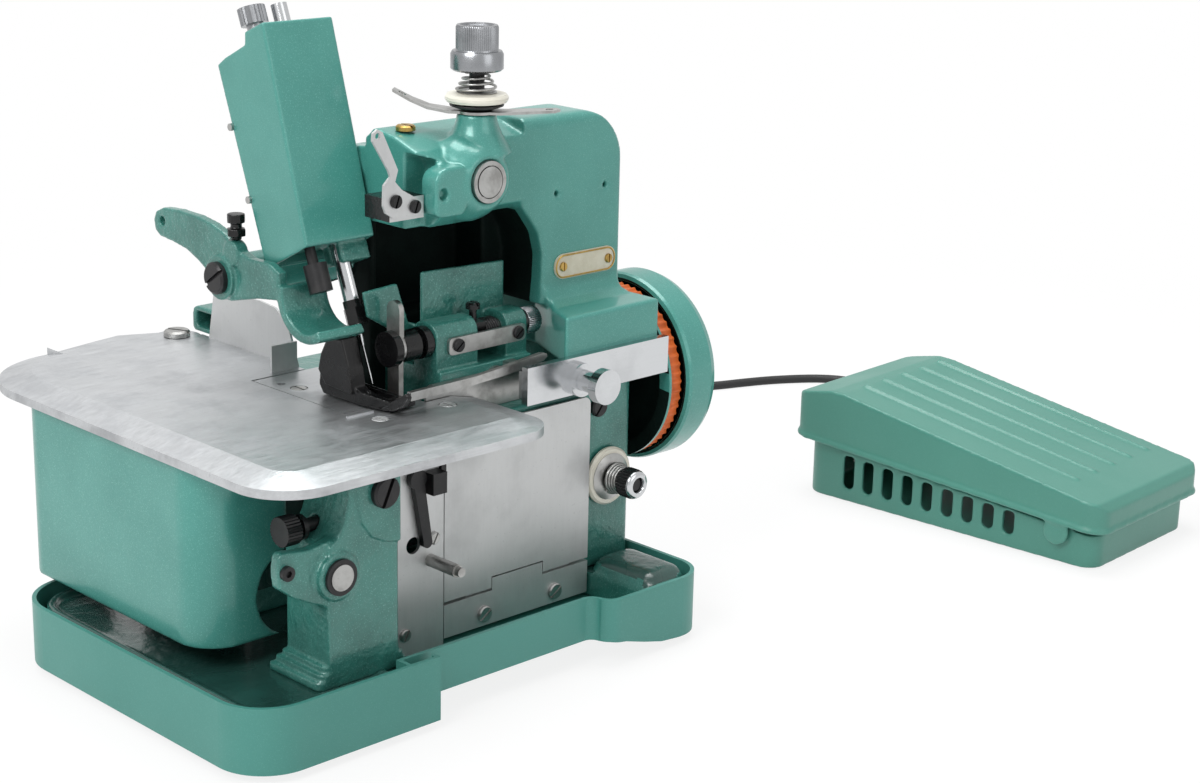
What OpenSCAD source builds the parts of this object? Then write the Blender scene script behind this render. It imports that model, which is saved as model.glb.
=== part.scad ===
// Serger (overlock sewing machine) with its foot pedal.
// The frame in the modules has its origin at the tray's front-left corner on the floor:
// +X is the operator's right, +Y is away from the operator and +Z is up. seat() centres the set.

/* [Tray] */
// Width of the sheet tray
tray_w = 268; // [240:1:300]
// Depth of the sheet tray
tray_d = 190; // [180:1:220]
// Height of the tray's rim above the floor
tray_rim = 34; // [30:0.5:38]
// Sheet thickness of the tray
tray_t = 2; // [1.5:0.1:2.5]
// Underside of the tray's floor sheet
tray_floor = 13; // [10:0.5:14]
// Clear height under the tray's skirt
skirt_gap = 4; // [2:0.5:6]
// How far the middle wall sits behind the left wall
front_step = 8; // [6:0.5:11]
// How far the right bulge stands forward of the left wall
front_bulge = 3; // [1:0.5:5]
// Radius of the tray's front-left corner
tray_r_left = 25; // [15:1:30]
// Radius of the tray's front-right corner
tray_r_right = 18; // [12:1:25]
// Radius of the tray's rear corners
tray_r_rear = 28; // [18:1:35]
// Radius of a rubber foot
foot_r = 11; // [8:0.5:14]

/* [Bed] */
// Inset of the bed casting from the tray's outside
bed_inset = 6.5; // [5:0.5:8]
// Floor level of the bed casting
bed_z = 28; // [26:0.5:29]
// Height of the bead round the bed
bead_h = 3; // [2:0.5:4]
// Width of the bead round the bed
bead_w = 4; // [3:0.5:6]
// Height of the raised foot at the bed's right front
lump_h = 8; // [5:0.5:9]

/* [Cloth plate] */
// Left edge of the cloth plate
plate_x = 13; // [10:0.5:16]
// Right edge of the cloth plate's front arm
plate_right = 169.5; // [160:0.5:172]
// Underside of the cloth plate
plate_z = 121.5; // [121:0.5:123]
// Thickness of the cloth plate
plate_t = 7.5; // [6.5:0.5:8]
// Height of the sloping rim
rim_h = 3.5; // [2:0.5:4]
// Width of the sloping rim
rim_w = 15; // [10:1:18]
// Left-to-right place of the plate's pivot
pivot_x = 119.4; // [117:0.2:121]
// Front-to-back place of the plate's pivot
pivot_y = 224.5; // [222:0.5:226]
// Radius of the pivot screw's head
pivot_r = 6.5; // [5:0.5:8]
// Wall of the side cover
cover_t = 2; // [1.5:0.1:3]
// Front face of the side cover
cover_y = 57; // [55:0.5:59]
// Lower edge of the side cover
cover_z = 39; // [36:0.5:44]
// Radius of the side cover's front corner
cover_r = 19; // [12:0.5:21]
// Height of the upright guard above the plate
guard_h = 27; // [20:0.5:28]

/* [Front] */
// Front face of the door
door_y = 44; // [43:0.2:45]
// Sheet thickness of the door
door_t = 1.2; // [1:0.1:1.6]
// Left edge of the door
door_x = 139.5; // [139:0.2:141]
// Right edge of the door
door_right = 231; // [225:0.5:231.2]
// Height of the door's hinge pin
hinge_z = 36.4; // [36.2:0.2:37]
// Top edge of the door
door_top = 117.5; // [112:0.5:119]
// Left edge of the side plate
side_x = 112; // [108:0.5:114]
// Front face of the housing
housing_y = 48; // [47.5:0.5:49]
// Right face of the housing
housing_x = 262; // [260:0.5:264]
// Rear face of the housing
housing_back = 185; // [180:1:186]

/* [Arm] */
// Top of the arm
arm_z = 250; // [245:0.5:256]
// Left face of the arm's column
arm_x = 206; // [202:0.5:208]
// Right face of the arm's column
arm_right = 270; // [266:0.5:272]
// Front face of the arm's column
arm_y = 66; // [62:0.5:70]
// Radius of the arm's top right corner
arm_r = 26; // [15:1:32]
// Bottom of the front block
block_z = 137; // [135:0.5:138]
// Top of the front block
block_top = 160; // [156:0.5:164]
// Front face of the front block
block_y = 40; // [39:0.5:42]

/* [Needle drive] */
// Left-to-right place of the needle
needle_x = 124; // [123:0.2:125]
// Front-to-back place of the needle's tip
tip_y = 76.1; // [75:0.2:77]
// Height of the needle's tip
tip_z = 136.2; // [134:0.2:138]
// Lean of the needle bar
lean = 22; // [20:0.5:24]
// Radius of the needle bar
bar_r = 3.8; // [3:0.1:4.5]
// Length from the needle's tip to the bar's top
bar_top = 177; // [172:0.5:182]
// Exposed length of the needle
needle_l = 28; // [26:0.5:30]
// Left face of the head cover
head_x = 99; // [98.6:0.2:101]
// Right face of the head cover
head_right = 138; // [136:0.2:138.6]
// Wall of the head cover
head_t = 2; // [1.5:0.1:3]

/* [Presser] */
// Front-to-back place of the presser arm's pivot
press_y = 146.6; // [145:0.2:148]
// Height of the presser arm's pivot
press_z = 177.5; // [176.5:0.2:179]
// Thickness of the presser arm
press_t = 5; // [4:0.5:5.2]
// Left edge of the presser foot
foot_x = 112; // [110:0.5:113]
// Right edge of the presser foot
foot_right = 130; // [127:0.5:130.4]

/* [Knives] */
// Front-to-back place of the knife shaft
knife_y = 70; // [69:0.2:71]
// Height of the knife shaft
knife_z = 153; // [152.6:0.2:154]
// Radius of the knife shaft
knife_r = 4; // [3:0.1:4.5]
// Left face of the upper knife
blade_x = 131; // [130.8:0.2:131.6]
// Thickness of the upper knife
blade_t = 2.6; // [1.5:0.1:3]

/* [Tensions] */
// Radius of a tension disc
disc_r = 14.4; // [12:0.2:14.6]
// Left-to-right place of the upper tension
tension_x = 176.5; // [174:0.5:182]
// Left-to-right place of the lower tension
lower_tension_x = 246; // [246:0.2:247.4]
// Height of the lower tension
lower_tension_z = 74; // [70:0.5:80]
// Radius of a tension stud
stud_r = 3.5; // [2.5:0.1:4]
// Running clearance round a shaft or stud
run = 0.06; // [0.03:0.01:0.1]

/* [Handwheel] */
// Front-to-back place of the main shaft
shaft_y = 79; // [76:0.5:82]
// Height of the main shaft
shaft_z = 115.3; // [113:0.5:117]
// Radius of the main shaft
shaft_r = 6; // [5:0.2:8]
// Radius of the handwheel
wheel_r = 47.7; // [45:0.2:50]
// Width of the handwheel
wheel_w = 21; // [17:0.5:23]
// Left face of the handwheel
wheel_x = 286; // [286:0.5:290]
// Outer radius of the belt round the handwheel's pulley
belt_r = 43.7; // [41:0.2:44.5]
// Thickness of the belt
belt_t = 2.4; // [1.8:0.1:3]
// Width of the belt
belt_w = 7.5; // [6:0.5:8]

/* [Motor] */
// Radius of the motor
motor_r = 27; // [24:0.5:30]
// Height of the motor's shaft
motor_z = 72; // [66:0.5:80]
// Radius of the motor's pulley
motor_pulley_r = 9; // [7:0.2:11]

/* [Pedal] */
// Left-to-right place of the pedal tub's front-left corner
pedal_x = 484; // [440:1:560]
// Front-to-back place of the pedal tub's front-left corner
pedal_y = -80; // [-100:1:-60]
// Turn of the pedal
pedal_turn = 4; // [0:0.5:10]
// Width of the pedal's tub
tub_w = 101; // [90:1:110]
// Length of the pedal's tub
tub_l = 190; // [175:1:200]
// Wall of the pedal's tub and treadle
tub_t = 2.5; // [2:0.1:3]
// Height of the treadle's ridge
ridge_z = 66; // [62:0.5:72]
// Height of the treadle's front edge
front_z = 38; // [36:0.5:42]
// Number of vent slots in each side of the tub
vents = 9; // [5:1:9]

/* [Cord] */
// Diameter of the pedal's cord
cord_d = 5.6; // [4.5:0.1:6.5]
// Sides of the cord's tube
cord_sides = 10; // [8:1:12]

/* [Hidden] */
$fn = 48;
sliver = 0.01;
gap = 0.4;
// The set's extent, machine and pedal together.
set_left = 0;
treadle_r = 11;
treadle_lip = 5;
flange = 1.2;
pin_at = [21.8, 19.3];
pin_r = 4;
corner_in = treadle_r - treadle_lip;
set_front = pedal_y + corner_in * (sin(pedal_turn) + cos(pedal_turn)) - treadle_r - flange;
set_right = pedal_x + (tub_w - corner_in) * cos(pedal_turn) - corner_in * sin(pedal_turn)
    + treadle_r + flange;
set_back = 246;
mid_x = (set_left + set_right) / 2;
mid_y = (set_front + set_back) / 2;
plate_top = plate_z + plate_t;
cover_x = plate_x + 3.3;
cover_right = 61;
cover_back = 200;
pocket_x = 100;
pocket_y0 = 66;
pocket_y1 = 136;
arm_edge = door_x - 0.2;
rear_right = 131;
floor_top = tray_floor + tray_t;
belt_x = wheel_x - 8.5;
motor_y = housing_back + motor_r + 1;
column_front = 14;
column_x = 50;
column_right = 88;
column_top = plate_z - 1.5;
pin_y = door_y + 1.7;
knuckle = 1.7;
tab_x0 = 169;
tab_x1 = 201;
tab_h = 4.2;
trough_x0 = 96;
trough_x1 = 232;
holder_front = 36;
holder_z = 123.5;
knife_bed_z = 140;
press_x = head_x - 1 - press_t;
arm_back = 95;
base_z = 1;
barrel_x = 108;
// Middle of the cord's gland across the pedal's tub.
gland_x = 49;
knob_x = arm_x + 3;
inner_x = 66;
inner_y = 104;
housing_r = 24;
plate_screw_at = [[107.4, 50.3], [144.7, 48]];
wall_front = 100;
wall_back = 118;
tub_rear_h = 34;
tub_front_h = 19;
// The cord's free stretches, chosen by hand.
cord_z = cord_d / 2 + 0.05;
lead_route = [
    [225, 250, 72], [225, 262, 72], [227, 273, 62], [233, 281, 44], [243, 286, 24],
    [256, 287, 9], [272, 285, cord_z], [290, 279, cord_z], [310, 272, cord_z],
    [330, 265, cord_z], [350, 258.6, cord_z], [366, 255, cord_z], [380, 253.4, cord_z],
    [396, 253, cord_z]
];
run_route = [
    [444.5, 273.1, 8.3], [452, 280.8, 7.2], [460, 288.3, 5.4], [470, 296.5, 3.7], [485, 304.5, cord_z],
    [505, 311, cord_z], [524, 312, cord_z], [544, 307, cord_z], [564, 299, cord_z],
    [580, 291, cord_z], [591, 286, cord_z], [608, 280, cord_z], [626, 272.5, cord_z],
    [644, 262, cord_z], [656, 252, cord_z], [664, 240, cord_z], [666, 226, cord_z],
    [662, 212, cord_z], [652, 199, cord_z], [636, 187, cord_z], [616, 177, cord_z],
    [594, 168.5, cord_z], [572, 162, cord_z], [550, 155.5, 3.4], [534, 149, 6],
    [522.4, 141, 9.8], [518.9, 133, 12], [518.7, 126, 12]
];
coil_x = 410;
coil_y = 287.6;
// Radius of the outer turns; the inner turns lie one cord further in.
coil_r = 34.6;

// ---- Helpers ----
module seat() {
    translate([-mid_x, -mid_y, 0]) children();
}
module box(p0, p1) {
    translate(p0) cube(p1 - p0);
}
// A rectangle with its own radius at each corner: front left, front right, back right, back left.
module panel2d(p0, p1, r = [0, 0, 0, 0]) {
    corners = [p0, [p1[0], p0[1]], p1, [p0[0], p1[1]]];
    inward = [[1, 1], [-1, 1], [-1, -1], [1, -1]];
    difference() {
        translate(p0) square(p1 - p0);
        for (i = [0:3])
            if (r[i] > 0)
                translate(corners[i])
                    scale_corner(inward[i], r[i]);
    }
}
module scale_corner(way, r) {
    difference() {
        translate([way[0] > 0 ? -1 : -r, way[1] > 0 ? -1 : -r]) square(r + 1);
        translate(way * r) circle(r);
    }
}
module slab(z0, z1) {
    translate([0, 0, z0]) linear_extrude(z1 - z0) children();
}
// Extrudes an outline drawn in (y, z) along X.
module prism_x(x0, x1) {
    translate([x0, 0, 0]) rotate([90, 0, 90]) linear_extrude(x1 - x0) children();
}
// Extrudes an outline drawn in (x, z) along Y.
module prism_y(y0, y1) {
    translate([0, y1, 0]) rotate([90, 0, 0]) linear_extrude(y1 - y0) children();
}
module rod_x(x0, x1, y, z, r) {
    translate([x0, y, z]) rotate([0, 90, 0]) cylinder(r = r, h = x1 - x0);
}
module rod_y(x, y0, y1, z, r) {
    translate([x, y1, z]) rotate([90, 0, 0]) cylinder(r = r, h = y1 - y0);
}
module rod_z(x, y, z0, z1, r) {
    translate([x, y, z0]) cylinder(r = r, h = z1 - z0);
}
// A round head with a rounded edge and a cross slot, standing on z = 0.
module slot_head(r, h, slot_w = 1.6) {
    edge = min(h, r) * 0.3;
    difference() {
        rotate_extrude()
            polygon([[0, 0], [r, 0], [r, h - edge], [r - edge, h], [0, h]]);
        translate([-slot_w / 2, -r - 1, h * 0.5]) cube([slot_w, 2 * r + 2, h]);
    }
}
// A socket head standing on z = 0.
module socket_head(r, h) {
    difference() {
        cylinder(r = r, h = h);
        translate([0, 0, h * 0.4]) cylinder(r = r * 0.5, h = h, $fn = 6);
    }
}
// A knurled cylinder standing on z = 0.
module knurl(r, h, teeth) {
    depth = r * 0.07;
    linear_extrude(h)
        polygon([for (i = [0:2 * teeth - 1])
            (r - (i % 2) * depth) * [cos(180 * i / teeth), sin(180 * i / teeth)]]);
}
// Stacked rings of wire whose radius goes from r0 to r1: a closed-up spring on z = 0.
module spring_rings(r0, r1, wire, turns) {
    for (i = [0:turns - 1])
        translate([0, 0, wire * (1 + 1.7 * i)])
            rotate_extrude()
                translate([r0 + (r1 - r0) * i / max(1, turns - 1), 0]) circle(wire, $fn = 20);
}
// Children stand in the needle bar's own frame: z runs up the bar from the tip, y to its back.
module at_bar() {
    translate([needle_x, tip_y, tip_z]) rotate([-lean, 0, 0]) children();
}
module at_pedal() {
    translate([pedal_x, pedal_y, 0]) rotate([0, 0, pedal_turn]) children();
}

// ---- Tray and bed ----
// The tray's outline, drawn a distance inside its outer face.
module tray_outline(i) {
    left_end = 85;
    bend_x = 200;
    bend_r = 8;
    fillet = 5;
    panel2d([i, i], [left_end - i, tray_d - i], [tray_r_left - i, 0, 0, tray_r_rear - i]);
    panel2d([left_end / 2, front_step + i], [bend_x + 2 * bend_r, tray_d - i]);
    panel2d([bend_x + i, -front_bulge + i], [tray_w - i, tray_d - i],
        [max(bend_r - i, 0.5), tray_r_right - i, tray_r_rear - i, 0]);
    translate([bend_x - fillet, front_step - fillet]) difference() {
        square(fillet + i + sliver);
        circle(fillet + i);
    }
}
module tray() color([0.35, 0.6, 0.55]) seat() {
    hook_x = 85;
    hook_end = 100;
    difference() {
        slab(skirt_gap, tray_rim) difference() {
            tray_outline(0);
            tray_outline(tray_t);
        }
        // The middle of the front edge is raised and runs down again along the bulge.
        prism_y(-front_bulge - 1, tray_r_right)
            polygon([[hook_x, 0], [hook_x, tray_floor], [203, tray_floor],
                [212, tray_floor - 1.5], [224, tray_floor - 5], [236, tray_floor - 8],
                [248, skirt_gap], [248, 0]]);
    }
    slab(tray_floor, floor_top) tray_outline(tray_t / 2);
    box([hook_x - tray_t, 0, skirt_gap], [hook_end, tray_t, tray_rim]);
    box([hook_end - tray_t, 0, skirt_gap], [hook_end, front_step / 2, tray_rim]);
}
module rubber_feet() color([0.1, 0.1, 0.1]) seat() {
    for (x = [30, tray_w - 30])
        for (y = [32, tray_d - 30])
            rod_z(x, y, 0, tray_floor, foot_r);
}
module bed_casting() color([0.33, 0.55, 0.5]) seat() {
    difference() {
        union() {
            slab(floor_top, bed_z) tray_outline(bed_inset);
            slab(bed_z, bed_z + bead_h) difference() {
                tray_outline(bed_inset);
                tray_outline(bed_inset + bead_w);
            }
        }
        slab(bed_z, bed_z + bead_h + 1) {
            housing_outline(gap);
            panel2d([column_x - 9, column_front - 1], [trough_x0 + 1, 52]);
        }
        box([trough_x0, -front_bulge - 1, floor_top - 1],
            [trough_x1, housing_y, bed_z + bead_h + 1]);
    }
    hull() {
        for (x = [trough_x1 + 9, tray_w - 14])
            for (y = [12, housing_y - 10])
                translate([x, y, bed_z]) sphere(lump_h, $fn = 32);
    }
}

// ---- Left front column ----
module front_column() color([0.38, 0.56, 0.5]) seat() {
    back = 44;
    shaft_x0 = 55;
    shaft_z0 = 78.6;
    difference() {
        union() {
            // Post whose upper left is cut back in a curve.
            prism_y(column_front, back)
                polygon([[column_x, bed_z], [column_right, bed_z], [column_right, column_top],
                    [61.7, column_top], [61.7, 110.9], [59, 101], [55.2, 94.7], [column_x + 1, 92],
                    [column_x, 88]]);
            // Lobe that reaches left, curved below.
            prism_y(column_front + 2, column_front + 8)
                polygon([[26, 79], [25.5, 86], [26, 92.5], [28, 94.3], [41.5, 92.6], [55.2, 94.7],
                    [55.2, 64], [50.6, 65], [41.2, 69.1], [33, 73.5]]);
            // Pad under the slotted screw and boss round the shaft.
            prism_y(column_front - 2, column_front + 1)
                polygon([[64.3, column_top], [64.3, 109], [67, 99.5], [72.3, 92.4], [80, 88.4],
                    [column_right, 87], [column_right, column_top]]);
            rod_y(shaft_x0, column_front - 1.5, column_front + 8, shaft_z0, 10.5);
            // Flared foot, in steps that a fillet runs over.
            for (i = [1:3])
                slab(bed_z, bed_z + 13 - 3 * i)
                    panel2d([column_x - 2 * i, column_front], [column_right + 2 * i, back + 2 * i],
                        [4, 4, 2, 2]);
        }
        rod_x(column_x - 1, 66, 33, 96.5, 3 + run);
    }
}
// ---- Fixed castings ----
module plate_arm() color([0.33, 0.55, 0.5]) seat() {
    under = plate_z - 0.5;
    slab(96, under) {
        translate([pivot_x - 11, housing_back]) square([22, pivot_y - housing_back]);
        translate([pivot_x, pivot_y]) circle(11);
    }
    prism_x(pivot_x - 4, pivot_x + 4)
        polygon([[housing_back, 60], [pivot_y, 97], [housing_back, 97]]);
    rod_z(pivot_x, pivot_y, under - sliver, plate_top + 0.3, 3.4);
}
module needle_plate() color([0.72, 0.73, 0.72]) seat() {
    x0 = pocket_x + gap;
    y0 = pocket_y0 + gap;
    y1 = pocket_y1 - 1.2;
    plate_right_edge = 138;
    difference() {
        union() {
            slab(plate_top - 4, plate_top)
                polygon([[x0, y0 + 1.3], [x0 + 12, y0], [plate_right_edge, y0],
                    [plate_right_edge, y1], [x0, y1]]);
            box([x0 + 2, 105, 119], [plate_right_edge - 2, y1 - 2, plate_top - 4]);
        }
        box([needle_x - 1.6, 69, plate_top - 5], [needle_x + 1.6, 75.5, plate_top + 1]);
        // Notch for the knives.
        box([blade_x - 0.4, y0 - 1, plate_top - 5], [plate_right_edge + 1, 74.4, plate_top + 1]);
        for (x = [116.5, 127.5])
            box([x, 78, plate_top - 5], [x + 3, 101, plate_top + 1]);
        rod_z(107.4, 122.5, plate_top - 3, plate_top + 1, 2);
        rod_z(109.6, 112, plate_top - 1.6, plate_top + 1, 4.2);
    }
}
// Footprint of the housing, grown by a clearance.
module housing_outline(grow) {
    panel2d([door_x + 0.5 - grow, housing_y - grow], [housing_x + grow, housing_back + grow],
        [0, 0, housing_r, 0]);
    panel2d([inner_x - grow, inner_y - grow], [housing_x - housing_r, housing_back + grow],
        [6, 0, 0, 6]);
}
module housing() color([0.33, 0.55, 0.5]) seat() {
    wall = 4;
    difference() {
        union() {
            slab(bed_z, 119) housing_outline(0);
            slab(119, block_z)
                panel2d([trough_x1 + 0.5, housing_y], [housing_x, housing_back],
                    [0, 0, housing_r, 0]);
        }
        box([door_x + wall, housing_y - 1, 38], [trough_x1 - 2, inner_y, 115]);
        box([door_x - 1, housing_y + 4, 44], [door_x + wall + 1, inner_y - 4, 111]);
        rod_x(trough_x1 - 3, housing_x + 1, shaft_y, shaft_z, shaft_r + run);
    }
}
module side_plate() color([0.75, 0.76, 0.76]) seat() {
    difference() {
        box([side_x, door_y, floor_top], [door_x - 0.5, door_y + 1.6, 118.5]);
        rod_y(121, door_y - 1, door_y + 3, 68, 4);
        rod_y(121.5, door_y - 1, door_y + 3, 100, 2.5 + run);
    }
    box([side_x, door_y + 1.6, bed_z], [side_x + 1.6, housing_y + 6, 118.5]);
    box([side_x + 4, door_y + 1.6, bed_z - 6], [door_x - 4, housing_y, bed_z - 1]);
}
module hinge_strip() color([0.75, 0.76, 0.76]) seat() {
    low = hinge_z - knuckle - gap;
    box([door_x, door_y, 18], [door_right, housing_y, low]);
    box([tab_x0, door_y, low - sliver], [tab_x1, door_y + door_t, hinge_z + tab_h]);
    box([tab_x0, door_y + door_t, low - sliver], [tab_x1, housing_y, hinge_z - 1]);
    difference() {
        rod_x(tab_x0, tab_x1, pin_y, hinge_z, knuckle);
        rod_x(tab_x0 - 1, tab_x1 + 1, pin_y, hinge_z, 0.7);
    }
    rod_x(155, 217, pin_y, hinge_z, 0.7);
}
module arm_casting() color([0.33, 0.58, 0.53]) seat() {
    edge = 5;
    slab(block_z, block_top)
        polygon([[210, block_y], [housing_x + 10, block_y], [housing_x + 10, wall_back],
            [226, wall_back], [226, 78]]);
    difference() {
        prism_y(arm_y, arm_back) difference() {
            panel2d([arm_x, block_top], [arm_right, arm_z], [0, 0, arm_r, 0]);
            // Two small oil holes, and the left edge that draws in below the boss.
            for (p = [[227.5, 212.5], [259.5, 213]])
                translate(p) circle(1.4);
            polygon([[arm_x - 1, block_top - 1], [217, block_top - 1], [218.5, 172], [219, 184],
                [216, 195], [210, 203], [arm_x, 208], [arm_x - 1, 208]]);
        }
        // Rounded front top edge.
        prism_x(arm_x - 1, arm_right + 1) difference() {
            translate([arm_y - 1, arm_z - edge]) square(edge + 1);
            translate([arm_y + edge, arm_z - edge]) circle(edge);
        }
        for (x = [227, 259])
            rod_y(x, arm_y - 1, arm_y + 4, 213, 1.1);
    }
    prism_x(219, arm_right - 2)
        polygon([[arm_y, block_top], [arm_y, block_top + 9], [arm_y - 4, block_top + 3],
            [arm_y - 10, block_top]]);
}
module upper_arm() color([0.33, 0.56, 0.51]) seat() {
    front = 58;
    left = head_right + 1.4;
    back = wall_front;
    scoop_y = 72;
    step_x = 176;
    // Arm left of the column, with its front top edge cut back, and the wall behind it.
    difference() {
        prism_x(left, step_x)
            polygon([[front, 214], [front, 236], [front + 7, 242], [front + 22, arm_z - 3],
                [back - 6, arm_z - 1], [back, arm_z - 6], [back, 206], [front + 10, 206]]);
        // The front is scooped out left of the boss.
        prism_y(front - 1, scoop_y)
            polygon([[left - 1, 205], [150, 205], [152, 222], [152, 232], [149, 238],
                [left - 1, 241]]);
    }
    prism_x(step_x - sliver, arm_x)
        polygon([[arm_y, 212], [arm_y + 6, 208], [back, 206], [back, arm_z - 6],
            [back - 6, arm_z - 1], [arm_y + 14, arm_z - 3], [arm_y, 243]]);
    // Wall behind, with a deep pocket under the arm.
    difference() {
        box([left + 3, back, 119], [arm_x, wall_back, 238]);
        box([left + 7, back - 1, 158], [arm_x + 1, wall_back - 3, 205]);
    }
    box([arm_x, arm_back, block_top], [housing_x, wall_back, 236]);
    // Web and boss that carry the presser arm's pivot.
    prism_x(left, left + 7)
        polygon([[back - 2, 206], [back, 240], [wall_back, 238], [150, 190], [152, 168],
            [140, 167], [wall_back - 6, 178]]);
    rod_x(press_x + press_t + gap, left, press_y, press_z, 9.5);
    // Pads that carry the head cover.
    for (p = [[109, 230], [112, 205]])
        rod_x(head_right, left + sliver, p[0], p[1], 7);
    // Bearing boss, oil block and tension post.
    difference() {
        translate([170, arm_y + 4, 227.5]) rotate([90, 0, 0]) rotate_extrude()
            polygon([[0, 0], [20.5, 0], [20, 8], [17.5, 13], [14.5, 17.5], [12, 20], [0, 20]]);
        rod_y(170, 49, front - 3, 227.5, 9.7);
    }
    difference() {
        prism_y(51, front + 4) panel2d([140, 214], [158, 236], [4, 3, 3, 7]);
        rod_y(145, 50, 55, 224.5, 2.6);
    }
    translate([tension_x, 66, 238]) rotate_extrude()
        polygon([[0, 0], [17, 0], [14, 5], [11, 10], [9.5, 14], [9, arm_z - 232], [0, arm_z - 232]]);
}
module head_cover() color([0.36, 0.6, 0.55]) seat() {
    profile = [[-18.6, 165.2], [-3.8, 164.8], [-1.5, 159.6], [15.7, 158.3], [22.3, 156.9],
        [23.7, 61.7], [-10.1, 65.2]];
    at_bar() difference() {
        translate([-needle_x, 0, 0]) difference() {
            prism_x(head_x, head_right) polygon(profile);
            prism_x(head_x + head_t, head_right - head_t)
                polygon([[-14.6, 158], [-7, 156.5], [21, 154.5], [21.4, 60], [-7.6, 60]]);
        }
        translate([0, 0, 150]) cylinder(r = bar_r + 0.6, h = 40);
    }
}
// Blocks inside the cover that carry the bar, and the ledge under it.
module bar_bushes() color([0.3, 0.5, 0.46]) seat() {
    at_bar() difference() {
        union() {
            for (z = [[66, 80], [136, 150]])
                translate([head_x + head_t - needle_x, -7, z[0]])
                    cube([head_right - head_x - 2 * head_t, 28, z[1] - z[0]]);
            translate([-4, -6, 56]) cube([16, 14, 12]);
        }
        translate([0, 0, 50]) cylinder(r = bar_r + run, h = 110);
    }
}
module rear_bracket() color([0.33, 0.55, 0.5]) seat() {
    z0 = plate_top + 0.5;
    y1 = 229;
    difference() {
        prism_x(132, 150) panel2d([housing_back, z0], [y1, z0 + 12.8], [0, 2, 4, 0]);
        box([131, housing_back + 3, z0 + 2.4], [147, y1 - 3, z0 + 10.4]);
    }
    box([134, housing_back, 100], [148, housing_back + 8, z0]);
}
module motor() color([0.16, 0.17, 0.17]) seat() {
    x0 = 196;
    x1 = housing_x;
    difference() {
        union() {
            rod_x(x0, x1, motor_y, motor_z, motor_r);
            box([x0 + 14, housing_back, motor_z - 20], [x1 - 12, motor_y, motor_z + 20]);
            rod_x(x1, x1 + 4, motor_y, motor_z, motor_r * 0.6);
            box([216, motor_y, motor_z - 8], [234, motor_y + motor_r + 1, motor_z + 8]);
        }
        rod_x(x1 - 8, x1 + 5, motor_y, motor_z, 3 + run);
    }
}
module drive_belt() color([0.85, 0.42, 0.12]) seat() {
    inner = belt_r - belt_t;
    small = motor_pulley_r + 0.3;
    dy = motor_y - shaft_y;
    dz = motor_z - shaft_z;
    span = sqrt(dy * dy + dz * dz);
    turn = atan2(dz, dy);
    lean_in = asin((inner - small) / span);
    translate([belt_x, shaft_y, shaft_z]) rotate([90, 0, 90]) rotate(turn) {
        linear_extrude(belt_w) difference() {
            belt_shape(inner + belt_t, small + belt_t, span, lean_in);
            belt_shape(inner, small, span, lean_in);
        }
    }
}
// Points of an arc of radius r about [x, 0].
function arc(x, r, from, to, n) =
    [for (i = [0:n]) let (a = from + (to - from) * i / n) [x + r * cos(a), r * sin(a)]];
// The outline round two pulleys, one at the origin and one on the x axis.
module belt_shape(big, small, span, lean_in) {
    touch = 90 - lean_in;
    polygon(concat(arc(0, big, touch, 360 - touch, 48), arc(span, small, -touch, touch, 16)));
}
module inlet_gland() color([0.12, 0.12, 0.12]) seat() {
    y0 = motor_y + motor_r + 1;
    rod_y(225, y0, y0 + 5, motor_z, 6.5);
    rod_y(225, y0 + 5, y0 + 9, motor_z, 4.6);
}
module knife_holder() color([0.78, 0.78, 0.77]) seat() {
    difference() {
        union() {
            box([182.4, holder_front, holder_z], [275, block_y, 141.5]);
            box([188, block_y, holder_z], [trough_x1 + 4, housing_y, block_z]);
            box([trough_x1 + 4, block_y, holder_z], [housing_x, housing_y, block_z]);
            rod_y(214.5, holder_front - 4, holder_front, 131, 8);
        }
        rod_y(214.5, holder_front - 5, housing_y + 1, 131, 5 + run);
    }
}
module lower_knife() color([0.78, 0.79, 0.78]) seat() {
    y0 = cover_y + 0.8;
    y1 = y0 + 1.6;
    z0 = 119.2;
    prism_y(y0, y1) {
        panel2d([door_x + 0.7, z0], [202, 136], [0, 0, 6, 4]);
        translate([183, 132]) circle(6);
    }
    // Foot under the cloth plate and the blade beside the upper knife.
    box([134, y0, z0], [142, 73.6, plate_z - gap]);
    box([134, 67.4, z0], [136, 73.6, plate_top + 0.2]);
}
module chip_guard() color([0.36, 0.6, 0.55]) seat() {
    rail_y = cover_y + 2.4;
    block_y0 = knife_y - 8;
    block_y1 = knife_y + 8.5;
    difference() {
        union() {
            // Low plate and the foot that carries it.
            box([150.2, rail_y, 119], [arm_x, wall_front, knife_bed_z]);
            prism_x(150, 175) panel2d([block_y0, knife_bed_z], [block_y1, 162], [0, 0, 6, 7]);
            prism_x(192.5, arm_x - gap) panel2d([block_y0, knife_bed_z], [block_y1, 161], [0, 0, 5, 6]);
            prism_y(block_y1, block_y1 + 2)
                polygon([[155, knife_bed_z], [155, 183], [arm_x - gap, 181.5],
                    [arm_x - gap, knife_bed_z]]);
            prism_y(block_y1, block_y1 + 2)
                polygon([[123.6, 166.7], [121.1, 178.6], [140.6, 179.8], [147.2, 160.8],
                    [156, 158], [156, 154], [141, 156], [133, 161]]);
        }
        rod_x(149, arm_x, knife_y, knife_z, knife_r + run);
    }
}
module guard_strip() color([0.5, 0.51, 0.5]) seat() {
    prism_y(45.5, 48)
        polygon([[121, 135.4], [150, 135.6], [180, 137.4], [201, 140], [203.5, 141.6], [203, 143.2],
            [200, 143.8], [180, 141.6], [160, 140], [121, 139.4]]);
    box([188, 48 - sliver, 137.4], [194, cover_y + 2.4, 139.4]);
}
module nameplate() color([0.85, 0.8, 0.62]) seat() {
    prism_y(arm_y - 1, arm_y) panel2d([226, 171], [266, 183], [5.6, 5.6, 5.6, 5.6]);
}
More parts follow.
